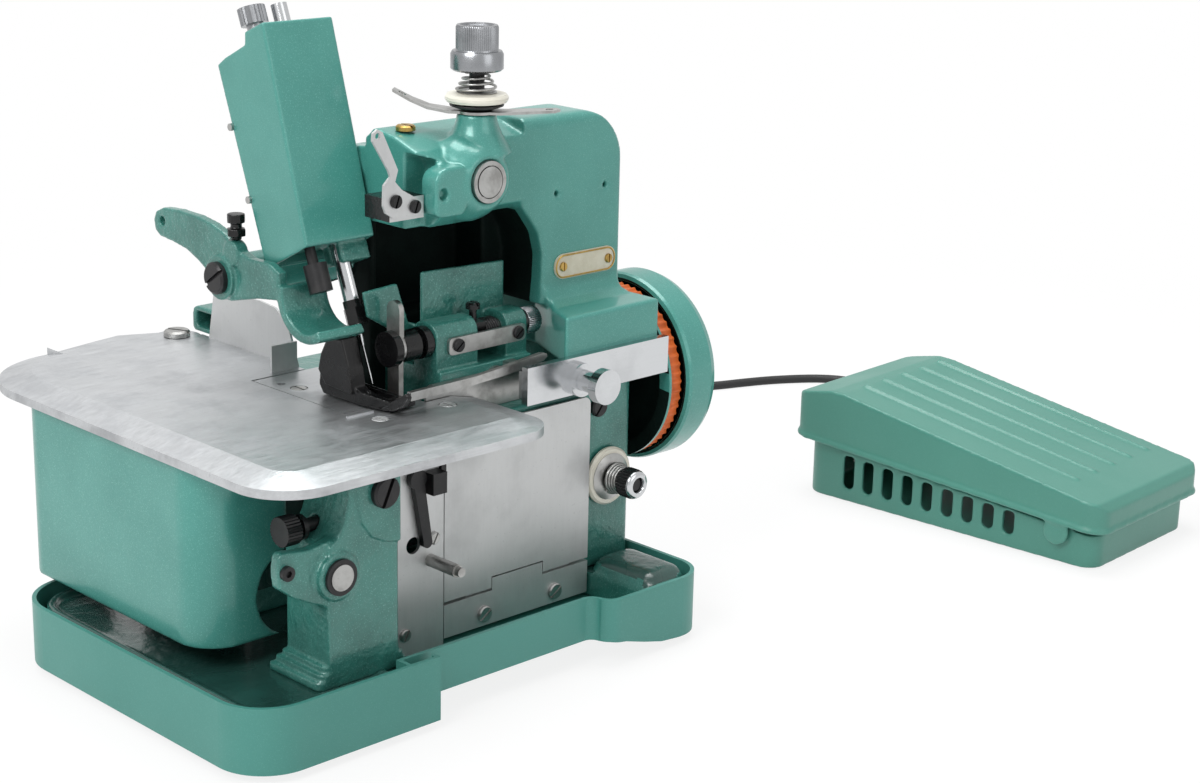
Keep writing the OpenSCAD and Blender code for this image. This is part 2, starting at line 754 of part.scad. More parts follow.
module brass_screws() color([0.75, 0.6, 0.3]) seat() {
    for (x = [231, 261])
        translate([x, arm_y - 1, 177]) rotate([90, 0, 0]) slot_head(2.2, 1.2, 0.6);
    translate([150, 84, arm_z - 1.7]) slot_head(4.5, 2.4, 1);
}
module black_screws() color([0.1, 0.1, 0.1]) seat() {
    translate([78.2, column_front - 2, 111.5]) rotate([90, 25, 0]) slot_head(7, 3.2, 1.8);
    // Ring round the shaft end.
    difference() {
        rod_y(55, column_front - 3, column_front - 1.5, 78.6, 8);
        rod_y(55, column_front - 4, column_front - 1, 78.6, 5.8);
    }
    // Screws of the bar across the knife blocks.
    for (x = [161.5, 198.3])
        translate([x, knife_y - 9.8, 151.2]) rotate([90, 50, 0]) slot_head(3.1, 1.4, 0.9);
    translate([29.5, column_front + 2, 85.6]) rotate([90, 0, 0]) socket_head(3.2, 2.2);
    translate([239.5, housing_y, 110]) rotate([90, 40, 0]) slot_head(5, 2.6, 1.2);
    box([127, door_y - 7, 92], [135, door_y, 102]);
    prism_y(door_y - 2, door_y) panel2d([136, 93], [138.8, 107], [1.2, 1.2, 1.2, 1.2]);
    at_bar() translate([barrel_x - needle_x, 0, 0]) {
        // The barrel is a little forward, clear of the lifted presser arm.
        translate([0, -0.8, 45]) cylinder(r = 5.4, h = 13);
        translate([0, 0, 58 - sliver]) cylinder(r = 2.5, h = 8 + sliver);
    }
}
module steel_fittings() color([0.7, 0.7, 0.69]) seat() {
    column_shaft();
    // Bearing bush and shaft in the arm's boss.
    difference() {
        rod_y(170, 49, 55, 227.5, 9.6);
        rod_y(170, 48, 51, 227.5, 7.6);
    }
    rod_y(170, 48.8, 51, 227.5, 7.1);
    // Bar across the knife blocks.
    prism_y(knife_y - 9.8, knife_y - 8) panel2d([156, 147], [203, 155], [2, 2, 2, 2]);
    // Screws in the head cover's left side.
    for (p = [[145, 246.5], [132.4, 215]])
        rod_x(head_x - 1.4, head_x, p[0], p[1], 1.7);
    // Threaded pin, plate screws and hinge strip screws.
    rod_y(131, door_y - 19, door_y, 58.8, 3);
    rod_y(131, door_y - 22, door_y - 19, 58.8, 2.2);
    for (p = [[133, 69], [116, 26]])
        translate([p[0], door_y, p[1]]) rotate([90, 30, 0]) slot_head(3, 1.6, 0.9);
    for (x = [164, 209])
        translate([x, door_y, 24]) rotate([90, 55, 0]) slot_head(4, 1.8, 1);
    translate([109.6, 112, plate_top - 1.6]) slot_head(4, 1.6, 0.9);
    // Head of the screw that the cloth plate turns on.
    translate([pivot_x, pivot_y, plate_top + 0.3]) rotate([0, 0, 25]) slot_head(pivot_r, 3, 1.6);
}
// Shaft end on the front column.
module column_shaft() {
    rod_y(55, column_front - 3.4, column_front - 1.5, 78.6, 5.8);
}
// ---- Thread path ----
module upper_tension() color([0.75, 0.75, 0.74]) seat() {
    base = arm_z + 6;
    translate([tension_x, 66, base]) {
        translate([0, 0, 1.2]) cylinder(r = stud_r, h = 37);
        translate([0, 0, 1.2]) rotate_extrude()
            polygon([[stud_r - 1, 0], [6.5, 0], [12.4, 2.2], [12.4, 3], [stud_r - 1, 3.4]]);
        translate([0, 0, 9.4]) spring_rings(8.6, 5.6, 0.6, 5);
    }
}
module upper_discs() color([0.88, 0.87, 0.82]) seat() {
    translate([tension_x, 66, arm_z + 6 + 4.7]) rotate_extrude()
        polygon([[stud_r, 0], [9, 0], [disc_r - 0.8, 0.4], [disc_r, 1.6], [disc_r, 2.8],
            [disc_r - 1, 4], [9, 4.4], [stud_r, 4.4]]);
}
module thread_guide() color([0.74, 0.74, 0.73]) seat() {
    translate([tension_x, 66, arm_z + 6]) rotate([0, 0, -50]) {
        intersection() {
            linear_extrude(12) difference() {
                union() {
                    polygon([[-38, -3], [-12, -6], [12, -6], [36, -4], [38, 0], [36, 4], [12, 6],
                        [-12, 6], [-38, 3]]);
                    circle(9);
                }
                for (x = [-34, 33])
                    translate([x, 0]) circle(1.8);
            }
            // Section: flat under the discs, with both wings bent upwards.
            prism_y(-10, 10)
                polygon([[-12, 0], [12, 0], [38, 1.8], [38, 3], [12, 1.2], [-12, 1.2], [-22, 2.6],
                    [-30, 5.6], [-38, 9.6], [-38, 8.4], [-30, 4.4], [-22, 1.4]]);
        }
    }
}
module thread_lever() color([0.72, 0.72, 0.71]) seat() {
    y0 = 57.5;
    y1 = 58.8;
    difference() {
        prism_y(y0, y1)
            polygon([[109.8, 251], [110, 254.5], [112.5, 256], [115.3, 254.5], [123.8, 237],
                [122.2, 232], [126, 228], [137.6, 221.5], [138, 215.6], [121, 216], [117, 218.5],
                [115.6, 222], [115.9, 231], [119.6, 234.5], [118.6, 237]]);
        rod_y(112.6, y0 - 1, y1 + 1, 253, 1.4);
    }
    box([120, y1, 214], [head_right + 1.4, 76, 224]);
    for (p = [[122.3, 223.3], [133.1, 219.8]])
        translate([p[0], y0, p[1]]) rotate([90, 20, 0]) slot_head(3, 1.6, 0.9);
}
module lower_tension() color([0.75, 0.75, 0.74]) seat() {
    translate([lower_tension_x, housing_y, lower_tension_z]) rotate([90, 0, 0]) {
        cylinder(r = stud_r, h = 23);
        translate([0, 0, 3.4]) rotate_extrude()
            polygon([[stud_r, 0], [11.5, 0], [6.5, 2.6], [stud_r, 2.6]]);
        translate([0, 0, 6]) spring_rings(7.4, 5.8, 0.8, 5);
    }
}
module lower_disc() color([0.88, 0.87, 0.82]) seat() {
    translate([lower_tension_x, housing_y, lower_tension_z]) rotate([90, 0, 0])
        rotate_extrude()
            polygon([[stud_r, 0], [8, 0], [disc_r, 1.2], [disc_r, 2.4], [disc_r - 1, 3.4],
                [stud_r, 3.4]]);
}
// ---- Swinging cloth plate ----
module cloth_plate() color([0.66, 0.67, 0.66]) seat() {
    r_left = 26;
    r_right = 18;
    r_back = 46;
    right_x = plate_right - r_right;
    back_x = plate_x + r_back;
    back_y = set_back - r_back;
    fade = rim_h / 45;
    steep = norm([1, rim_h / rim_w, fade]);
    difference() {
        union() {
            box([97, 59.8, plate_top - sliver], [111.4, 61.2, plate_top + 0.8]);
            // Front edge, left edge and right edge, each with its sloping rim.
            prism_x(plate_x + r_left, right_x) rim_profile(cover_y);
            translate([plate_x, 0, 0]) prism_y(r_left, back_y) rim_profile(r_back);
            translate([plate_right, 0, 0]) mirror([1, 0, 0]) prism_y(r_right, cover_y)
                rim_profile(r_right);
            rim_corner([plate_x + r_left, r_left], r_left, 180);
            rim_corner([right_x, r_right], r_right, 270);
            rim_corner([back_x, back_y], r_back, 90);
            slab(plate_z, plate_top) {
                translate([back_x - 2, cover_y - 2])
                    square([rear_right - back_x + 2, back_y - cover_y + 2]);
                translate([90, cover_y - 2]) square([arm_edge - 90, pocket_y0 - cover_y + 2]);
                polygon([[back_x, set_back], [84, set_back - 0.5], [98, set_back - 2.5],
                    [pivot_x - 4, set_back - 10], [rear_right, set_back - 27],
                    [rear_right, back_y - 1], [back_x, back_y - 1]]);
                translate([pivot_x, pivot_y]) circle(11.6);
            }
        }
        box([pocket_x, pocket_y0, plate_z - 1], [160, pocket_y1, plate_top + 1]);
        // The sloping rim fades out along the rear edge.
        translate([back_x, set_back - rim_w, plate_top])
            rotate([-asin(rim_h / rim_w / steep), -atan(fade), 0]) cube([70, 40, 20]);
        rod_z(pivot_x, pivot_y, plate_z - 1, plate_top + 1, 3.4 + run);
        for (p = plate_screw_at)
            rod_z(p[0], p[1], plate_top - 1.6, plate_top + 1, 4.2);
    }
}
// Section of the plate from its sloping edge, at 0, inwards.
module rim_profile(w) {
    polygon([[0, plate_z], [0, plate_top - rim_h], [rim_w, plate_top], [w, plate_top],
        [w, plate_z]]);
}
// A quarter of a round corner with the sloping rim.
module rim_corner(centre, r, from) {
    translate(centre) rotate([0, 0, from]) rotate_extrude(angle = 90)
        polygon([[0, plate_z], [r, plate_z], [r, plate_top - rim_h], [r - rim_w, plate_top],
            [0, plate_top]]);
}
module side_cover() color([0.37, 0.6, 0.56]) seat() {
    difference() {
        slab(cover_z, plate_z)
            panel2d([cover_x, cover_y], [cover_right, cover_back], [cover_r, 0, 0, 14]);
        slab(cover_z - 1, plate_z + 1)
            panel2d([cover_x + cover_t, cover_y + cover_t],
                [cover_right + 1, cover_back - cover_t],
                [cover_r - cover_t, 0, 0, 14 - cover_t]);
        rod_y(cover_right + 4.3, cover_y - 1, cover_y + cover_t + 1, 57.6, 20.5);
    }
}
module plate_guard() color([0.76, 0.77, 0.77]) seat() {
    foot_z = plate_top;
    x1 = rear_right;
    prism_x(x1 - 1.2, x1)
        polygon([[140, foot_z], [212, foot_z], [207, foot_z + guard_h - 2],
            [191, foot_z + guard_h - 1], [169, foot_z + guard_h], [157, foot_z + guard_h - 1],
            [147, foot_z + guard_h - 8]]);
    box([x1 - 16, 140, foot_z], [x1 - 1.2, 141.2, foot_z + 13]);
    for (p = plate_screw_at)
        translate([p[0], p[1], plate_top - 1.6]) slot_head(4, 1.6, 0.9);
}
// ---- Door ----
module front_door() color([0.77, 0.78, 0.78]) seat() {
    difference() {
        union() {
            prism_y(door_y, door_y + door_t)
                panel2d([door_x, hinge_z - 0.6], [door_right, door_top], [0, 0, 4, 2]);
            for (x = [[153, tab_x0 - gap], [tab_x1 + gap, 219]])
                rod_x(x[0], x[1], pin_y, hinge_z, knuckle);
            box([door_x + 6, door_y + door_t, door_top - 2.2],
                [door_right - 8, door_y + 3.4, door_top - 1]);
        }
        box([tab_x0 - gap, door_y - 1, hinge_z - 3], [tab_x1 + gap, door_y + 4, hinge_z + tab_h + 0.7]);
        rod_x(154, 218, pin_y, hinge_z, 0.7 + run);
    }
}
// ---- Handwheel and drive ----
module handwheel() color([0.36, 0.6, 0.55]) seat() {
    rim = 4;
    web_x = wheel_x + 12;
    hub_r = 12;
    pulley = belt_r - belt_t - 0.3;
    translate([0, shaft_y, shaft_z]) rotate([0, 90, 0]) {
        translate([0, 0, wheel_x]) rotate_extrude()
            polygon([[wheel_r - rim, 0.6], [wheel_r - rim + 0.6, 0], [wheel_r - 2.4, 0],
                [wheel_r - 0.7, 0.7], [wheel_r, 2.4], [wheel_r, wheel_w - 5],
                [wheel_r - 1.5, wheel_w - 1.5], [wheel_r - 5, wheel_w], [0, wheel_w],
                [0, 12], [wheel_r - rim, 12]]);
        translate([0, 0, wheel_x - 14]) cylinder(r = hub_r, h = web_x - wheel_x + 14.5);
        // Pulley, hollow on its left, with a thin flange beside the belt.
        translate([0, 0, belt_x - 2]) difference() {
            union() {
                cylinder(r = belt_r + 0.6, h = 1.6);
                cylinder(r = pulley, h = belt_w + 2.4);
            }
            translate([0, 0, -1]) cylinder(r = pulley - 3.5, h = 7);
        }
        translate([0, 0, belt_x + belt_w + 0.4]) cylinder(r = belt_r - 8, h = 4);
        translate([0, 0, 236]) cylinder(r = shaft_r, h = wheel_x - 236);
    }
}
module motor_pulley() color([0.6, 0.6, 0.6]) seat() {
    translate([0, motor_y, motor_z]) rotate([0, 90, 0]) {
        translate([0, 0, belt_x - 0.4]) cylinder(r = motor_pulley_r, h = belt_w + 0.8);
        for (x = [belt_x - 2, belt_x + belt_w + 0.4])
            translate([0, 0, x]) cylinder(r = motor_pulley_r + 3.4, h = 1.6);
        translate([0, 0, 255]) cylinder(r = 3, h = belt_x - 255);
    }
}
// ---- Needle bar ----
module needle_bar() color([0.7, 0.7, 0.7]) seat() at_bar() {
    difference() {
        union() {
            translate([0, 0, needle_l + 11]) cylinder(r = bar_r, h = bar_top - needle_l - 11);
            // Needle clamp: a hexagon nut below a collar.
            translate([0, 0, needle_l]) cylinder(r = 5.2, h = 7.5, $fn = 6);
            translate([0, 0, needle_l + 7.5]) cylinder(r = 4.4, h = 3.5);
        }
        translate([0, 0, needle_l - 1]) cylinder(r = 1.05, h = 10);
    }
}
module needle() color([0.8, 0.8, 0.8]) seat() at_bar() {
    cylinder(r1 = 0.15, r2 = 0.55, h = 5);
    translate([0, 0, 5]) cylinder(r = 0.55, h = 13);
    translate([0, 0, 18]) cylinder(r = 1, h = needle_l + 8.9 - 18);
}
// ---- Presser ----
module presser_arm() color([0.36, 0.59, 0.54]) seat() {
    x0 = press_x;
    x1 = press_x + press_t;
    hook_y = 86;
    hook_z = 178;
    hook_r = 20;
    hook_x1 = foot_x + 6.4;
    difference() {
        union() {
            prism_x(x0, x1)
                polygon([[104, 187], [112, 190], [126, 189.5], [134, 192], [140, 195], [146, 198.4],
                    [155, 201], [166.3, 202.6], [182, 203], [194, 202.2], [200, 199.5],
                    [202, 195.5], [201, 190.5], [197, 188], [186, 187], [175.2, 185.2],
                    [166, 181.5], [157.8, 177], [154, 169], [141, 167], [120.5, 172],
                    [106, 174], [104.5, 180]]);
            rod_x(x0 - 2.4, x1, press_y, press_z, 10.5);
            rod_x(x0 - 1.5, x1, 138.6, 190, 6);
            // Hook that reaches under the head to the foot.
            prism_x(x0, hook_x1) difference() {
                translate([hook_y, hook_z]) circle(hook_r);
                translate([hook_y, hook_z]) circle(hook_r - 4.5);
                translate([hook_y - hook_r - 1, hook_z + 3])
                    square([2 * hook_r + 2, 2 * hook_r]);
                polygon([[hook_y, hook_z], [hook_y - 30, hook_z - 40], [hook_y - 60, hook_z - 20],
                    [hook_y - 40, hook_z + 30], [hook_y + 8, hook_z + 12]]);
            }
        }
        rod_x(x0 - 4, x1 + 1, press_y, press_z, 3.5 + run);
        rod_x(x0 - 1, x1 + 1, 195, 195.6, 2.2);
    }
}
// Slotted pivot screw of the presser arm.
module press_screw() color([0.1, 0.1, 0.1]) seat() {
    translate([press_x - 2.4 - run, press_y, press_z]) rotate([0, -90, 0]) rotate([0, 0, 35])
        slot_head(7.5, 3.4, 1.8);
    rod_x(press_x - 2.4 - run, press_x + press_t + gap, press_y, press_z, 3.5);
}
// Black foot, its shank and its upturned toe, and the arm's adjusting screw.
module presser_foot() color([0.09, 0.09, 0.1]) seat() {
    translate([press_x + press_t / 2, 138.6, 0]) {
        translate([0, 0, 196.1]) cylinder(r = 2.4, h = 2);
        translate([0, 0, 197.8]) cylinder(r = 4.6, h = 3.6, $fn = 6);
        translate([0, 0, 201.4]) cylinder(r = 2.6, h = 2.6);
        translate([0, 0, 204]) knurl(4.2, 4.2, 18);
    }
    sole = plate_top + 0.4;
    shank_x1 = foot_x + 6;
    difference() {
        intersection() {
            prism_x(foot_x, foot_right)
                polygon([[44, sole + 8.2], [47, sole + 3.4], [52, sole + 0.8], [58, sole],
                    [97, sole], [100, sole + 4], [99, sole + 12], [91, sole + 14],
                    [70, sole + 6.4], [60, sole + 5.4], [54, sole + 4.6], [49, sole + 7.4],
                    [46, sole + 10]]);
            slab(sole - 1, sole + 20)
                polygon([[foot_x, 101], [foot_x, 70], [foot_x + 4, 52], [foot_x + 7, 43],
                    [foot_right, 43], [foot_right, 101]]);
        }
        // Slit for the needle and room for its clamp above.
        box([needle_x - 3.2, 64, sole - 1], [needle_x + 3.2, 84, sole + 8]);
        box([needle_x - 6, 57, sole + 3.2], [foot_right + 1, 91, sole + 20]);
        box([foot_x + 8.6, 40, sole - 1], [foot_right + 1, 53, sole + 12]);
    }
    difference() {
        union() {
            prism_x(foot_x - 3, shank_x1)
                polygon([[73, sole + 5], [92, sole + 6], [97, sole + 12], [95, 149], [91, 156],
                    [88, 161], [80.5, 161], [75, 147]]);
            // Rear wall behind the needle.
            prism_x(shank_x1 - sliver, foot_right)
                polygon([[92, sole + 3], [99, sole + 4], [99, sole + 12], [97, 154], [92, 155]]);
        }
        rod_x(foot_x - 4, foot_right + 1, 86, 178, 20 + sliver);
    }
}
// ---- Upper knife ----
module upper_knife() color([0.6, 0.61, 0.62]) seat() {
    low = plate_top + 0.7;
    difference() {
        prism_x(blade_x, blade_x + blade_t) {
            panel2d([knife_y - 4, low], [knife_y + 4, knife_z]);
            translate([knife_y, knife_z]) circle(6.8);
            panel2d([knife_y - 4.5, knife_z], [knife_y + 4.5, knife_z + 22], [0, 0, 4.4, 4.4]);
        }
        rod_x(blade_x - 1, blade_x + blade_t + 1, knife_y, knife_z, knife_r);
    }
}
module knife_shaft() color([0.7, 0.7, 0.7]) seat() {
    rod_x(147.5, knob_x + 9, knife_y, knife_z, knife_r);
    translate([182.1, knife_y, knife_z]) rotate([0, 90, 0]) spring_rings(5, 5, 0.85, 6);
}
// Black clamp, its barrel and the block with the set screw.
module knife_clamp() color([0.1, 0.1, 0.11]) seat() {
    screw_x = 178.6;
    rod_x(blade_x - 4, blade_x, knife_y, knife_z, 8.2);
    rod_x(blade_x - sliver, 147.5, knife_y, knife_z, knife_r);
    difference() {
        union() {
            rod_x(blade_x + blade_t, 142.5, knife_y, knife_z, 7.2);
            rod_x(145.4, 149.4, knife_y, knife_z, 7.4);
        }
        rod_x(blade_x + blade_t - 1, 150, knife_y, knife_z, knife_r);
    }
    difference() {
        box([175.5, knife_y - 5.2, knife_z - 5.2], [182, knife_y + 5.2, knife_z + 5.4]);
        rod_x(175, 183, knife_y, knife_z, knife_r);
    }
    rod_z(screw_x, knife_y, knife_z + 5.4 - sliver, knife_z + 11, 1.8);
    translate([screw_x, knife_y, knife_z + 11 - sliver]) slot_head(3.4, 3, 1);
}
module knife_knob() color([0.8, 0.8, 0.8]) seat() {
    translate([knob_x, knife_y, knife_z]) rotate([0, 90, 0]) difference() {
        knurl(6.5, 8, 22);
        translate([0, 0, -1]) cylinder(r = knife_r, h = 12);
    }
}
// ---- Knobs and controls ----
module top_knob() color([0.6, 0.6, 0.6]) seat() {
    z0 = arm_z + 25;
    difference() {
        union() {
            rod_z(tension_x, 66, z0, z0 + 9, 12);
            translate([tension_x, 66, z0 + 9]) knurl(9.75, 11.5, 30);
        }
        rod_z(tension_x, 66, z0 - 1, z0 + 22, stud_r + run);
    }
}
module lower_knob() color([0.12, 0.12, 0.12]) seat() {
    difference() {
        translate([lower_tension_x, housing_y - 13.6, lower_tension_z]) rotate([90, 0, 0])
            knurl(7.4, 9, 26);
        rod_y(lower_tension_x, 20, housing_y - 12, lower_tension_z, stud_r + run);
    }
}
module stitch_knob() color([0.13, 0.13, 0.13]) seat() {
    translate([39, 33, 96.5]) rotate([0, 90, 0]) {
        knurl(6.7, 7.5, 28);
        translate([0, 0, 9.4]) cylinder(r = 5.6, h = 2.2);
        cylinder(r = 3, h = 23);
    }
}
module cover_screw() color([0.6, 0.6, 0.58]) seat() at_bar() {
    translate([113 - needle_x, 6, 160]) {
        cylinder(r = 4, h = 10);
        translate([0, 0, 10]) knurl(6.4, 8, 22);
    }
}
module push_button() color([0.85, 0.85, 0.85]) seat() {
    rod_y(214.5, 21, 45, 131, 5);
    rod_y(214.5, 16, 21, 131, 8.3);
}
module black_lever() color([0.1, 0.1, 0.1]) seat() {
    y1 = door_y - gap;
    prism_y(y1 - 3, y1) {
        polygon([[118.4, 100], [124.6, 100], [129.4, 69.5], [124.6, 68.5]]);
        translate([121.5, 100]) circle(4.6);
        translate([126.9, 69]) circle(2.6);
    }
    rod_y(121.5, y1 - 0.1, door_y + 6, 100, 2.5);
}
module lower_looper() color([0.75, 0.75, 0.76]) seat() {
    pin_x = 118;
    pin_z = 66;
    rod_y(pin_x, 66, 103.7, pin_z, 4);
    prism_y(66, 71) polygon([[pin_x - 4, pin_z], [pin_x + 4, pin_z], [pin_x - 2, pin_z + 36],
        [pin_x + 3, 112], [pin_x + 3, 114.5], [pin_x - 10, 112], [pin_x - 9, pin_z + 34]]);
}
module upper_looper() color([0.75, 0.75, 0.76]) seat() {
    pin_x = 156;
    pin_z = 66;
    rod_y(pin_x, 74, 103.7, pin_z, 4);
    prism_y(74, 78) polygon([[pin_x - 4, pin_z], [pin_x + 4, pin_z], [pin_x - 2, pin_z + 36],
        [pin_x - 8, 108], [146, 108], [146, 105], [pin_x - 10, pin_z + 36]]);
}
// ---- Pedal ----
module pedal_base() color([0.35, 0.6, 0.55]) seat() at_pedal() {
    slot_w = 7;
    pitch = 13.3;
    difference() {
        union() {
            slab(base_z, base_z + tub_t) panel2d([0, 0], [tub_w, tub_l], [10, 10, 12, 12]);
            difference() {
                slab(base_z, tub_rear_h) difference() {
                    panel2d([0, 0], [tub_w, tub_l], [10, 10, 12, 12]);
                    panel2d([tub_t, tub_t], [tub_w - tub_t, tub_l - tub_t],
                        [8, 8, 10, 10]);
                }
                prism_x(-1, tub_w + 1)
                    polygon([[-5, tub_front_h], [tub_l + 5, tub_rear_h + 0.4],
                        [tub_l + 5, 90], [-5, 90]]);
            }
            // Ears round the treadle's pin.
            for (x = [0, tub_w - tub_t])
                rod_x(x, x + tub_t, pin_at[0], pin_at[1], pin_r + 4);
        }
        for (i = [0:vents - 1])
            for (x = [-1, tub_w - tub_t - 1])
                prism_x(x, x + tub_t + 2)
                    panel2d([49.8 + pitch * i, 8.6], [49.8 + slot_w + pitch * i, 21.5 + 0.8 * i],
                        [3, 3, 2, 2]);
        rod_y(gland_x, tub_l - tub_t - 1, tub_l + 1, 12, 4.4);
        rod_x(-1, tub_w + 1, pin_at[0], pin_at[1], pin_r + run);
    }
}
module pedal_feet() color([0.1, 0.1, 0.1]) seat() at_pedal() {
    for (x = [16, tub_w - 16])
        for (y = [18, tub_l - 18])
            rod_z(x, y, 0, base_z, 8);
}
// The treadle: a hollow wedge over the tub that turns on a pin near the front.
module pedal_treadle() color([0.36, 0.61, 0.56]) seat() at_pedal() {
    out = [-treadle_lip, tub_w + treadle_lip];
    y0 = -treadle_lip;
    y1 = tub_l + treadle_lip + 2;
    ridge_y = 167;
    front_low = 22;
    rear_low = 35;
    rise = (ridge_z - front_z) / ridge_y;
    difference() {
        union() {
            intersection() {
                slab(0, ridge_z + 2)
                    panel2d([out[0], y0], [out[1], y1], [treadle_r, treadle_r, 11, 11]);
                prism_x(out[0], out[1])
                    polygon([[y0, front_low], [y1, rear_low], [y1, 58], [y1 - 4, 61],
                        [ridge_y + 4, ridge_z - 0.4], [ridge_y - 4, ridge_z - 0.6],
                        [y0 + 4, front_z + rise * 4], [y0, front_z - 4]]);
            }
            // Flared lower edge.
            intersection() {
                slab(0, ridge_z)
                    panel2d([out[0] - flange, y0 - flange], [out[1] + flange, y1 + flange],
                        [treadle_r + flange, treadle_r + flange, 11 + flange, 11 + flange]);
                prism_x(out[0] - 2, out[1] + 2)
                    polygon([[y0 - 2, front_low], [y1 + 2, rear_low], [y1 + 2, rear_low + 2.4],
                        [y0 - 2, front_low + 2.4]]);
            }
            // Lugs that carry the pin.
            for (x = [out[0], out[1] - tub_t])
                rod_x(x, x + tub_t, pin_at[0], pin_at[1], pin_r + 3.5);
        }
        // Notch over the cord's gland, so that the pressed treadle clears it.
        box([gland_x - 8, y1 - tub_t - 1, rear_low - 4], [gland_x + 8, y1 + flange + 1, rear_low + 4]);
        intersection() {
            slab(-1, ridge_z) panel2d([out[0] + tub_t, y0 + tub_t], [out[1] - tub_t, y1 - tub_t],
                [9, 9, 9, 9]);
            prism_x(out[0] + tub_t, out[1] - tub_t)
                polygon([[y0, 0], [y1, 0], [y1, 57], [ridge_y, ridge_z - tub_t - 0.6],
                    [y0 + 2, front_z - tub_t - 1]]);
        }
    }
    // Ribs along the sloping top.
    for (x = [18, 37, 56, 75, 94])
        translate([x, 23, front_z + rise * 23 - 0.2])
            rotate([atan(rise) - 90, 0, 0])
                cylinder(r = 2, h = 143);
    rod_x(out[0] - 0.3, out[1] + 0.3, pin_at[0], pin_at[1], pin_r);
}
module pedal_gland() color([0.1, 0.1, 0.1]) seat() at_pedal() {
    rod_y(gland_x, tub_l - 6, tub_l + 8, 12, 4.2);
    rod_y(gland_x, tub_l + 8, tub_l + 14, 12, 3.6);
}
// ---- Cord ----
function unit(v) = v / norm(v);
function heading(p, i) =
    unit(p[min(i + 1, len(p) - 1)] - p[max(i - 1, 0)]);
function ring_point(p, i, a) =
    let (t = heading(p, i), side = unit(cross([0, 0, 1], t + [0, 0, 0.0001])), up = cross(t, side))
    p[i] + cord_d / 2 * (cos(a) * side + sin(a) * up);
// Sweeps the cord's round section along a route.
module swept(route) {
    n = cord_sides;
    rings = len(route);
    points = [for (i = [0:rings - 1]) for (k = [0:n - 1]) ring_point(route, i, 360 * k / n)];
    sides = [for (i = [0:rings - 2]) for (k = [0:n - 1])
        [i * n + k, (i + 1) * n + k, (i + 1) * n + (k + 1) % n, i * n + (k + 1) % n]];
    first = [for (k = [0:n - 1]) k];
    last = [for (k = [n - 1:-1:0]) (rings - 1) * n + k];
    polyhedron(points, concat([first], sides, [last]));
}
module cord_tubes() color([0.07, 0.07, 0.07]) seat() {
    swept(lead_route);
    swept(run_route);
}
module cord_coil() color([0.07, 0.07, 0.07]) seat() {
    inner = coil_r - 1.5 * cord_d;
    translate([coil_x, coil_y, 0]) rotate_extrude()
        polygon([[inner, 0.05], [inner + 2 * cord_d, 0.05], [inner + 2 * cord_d, 2 * cord_d],
            [inner, 2 * cord_d]]);
}

tray();
rubber_feet();
bed_casting();
front_column();
plate_arm();
needle_plate();
housing();
side_plate();
hinge_strip();
arm_casting();
upper_arm();
head_cover();
rear_bracket();
bar_bushes();
nameplate();
brass_screws();
black_screws();
steel_fittings();
upper_tension();
upper_discs();
thread_guide();
thread_lever();
lower_tension();
lower_disc();
knife_holder();
lower_knife();
chip_guard();
guard_strip();
motor();
drive_belt();
inlet_gland();
cloth_plate();
side_cover();
plate_guard();
front_door();
handwheel();
motor_pulley();
needle_bar();
needle();
presser_arm();
press_screw();
presser_foot();
upper_knife();
knife_shaft();
knife_clamp();
knife_knob();
top_knob();
lower_knob();
stitch_knob();
cover_screw();
push_button();
black_lever();
lower_looper();
upper_looper();
pedal_base();
pedal_feet();
pedal_treadle();
pedal_gland();
cord_tubes();
cord_coil();
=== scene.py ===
# %% [markdown]
# # A small serger with its foot pedal
# The rigid model comes in packed: every node is already in place, in metres, and rides on its
# body. This lesson dresses it: the camera and the pedal's cord first, then the studio, then the
# finishes, and at last the pieces whose real form is finer than a plain solid.
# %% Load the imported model
import math
import bmesh
import bpy
from mathutils import Matrix, Vector


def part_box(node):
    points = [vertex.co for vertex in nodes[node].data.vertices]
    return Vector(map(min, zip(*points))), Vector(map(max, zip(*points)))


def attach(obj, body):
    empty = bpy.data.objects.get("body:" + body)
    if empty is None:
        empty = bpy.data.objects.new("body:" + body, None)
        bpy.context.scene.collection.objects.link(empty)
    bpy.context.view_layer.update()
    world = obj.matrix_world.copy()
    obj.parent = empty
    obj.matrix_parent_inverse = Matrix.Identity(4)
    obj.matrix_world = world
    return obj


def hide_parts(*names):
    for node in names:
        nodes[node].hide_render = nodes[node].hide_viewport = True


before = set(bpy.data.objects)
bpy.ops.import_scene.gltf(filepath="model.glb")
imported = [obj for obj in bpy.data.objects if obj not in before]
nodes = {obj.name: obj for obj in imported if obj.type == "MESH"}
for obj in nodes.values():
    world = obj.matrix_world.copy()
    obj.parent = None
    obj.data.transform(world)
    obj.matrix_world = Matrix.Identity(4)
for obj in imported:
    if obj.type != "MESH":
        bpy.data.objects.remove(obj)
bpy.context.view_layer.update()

# %% [markdown]
# The machine's own drawing starts at the tray's front-left corner and is in millimetres. Every
# place below is written in that way, and one function carries it to the frame of the model.
# %% Places in millimetres
MID_X, MID_Y = 295.275, 80.102
MM = 0.001


def at(x, y, z):
    return Vector(((x - MID_X) * MM, (y - MID_Y) * MM, z * MM))


print("tray corner", at(0, 0, 0))

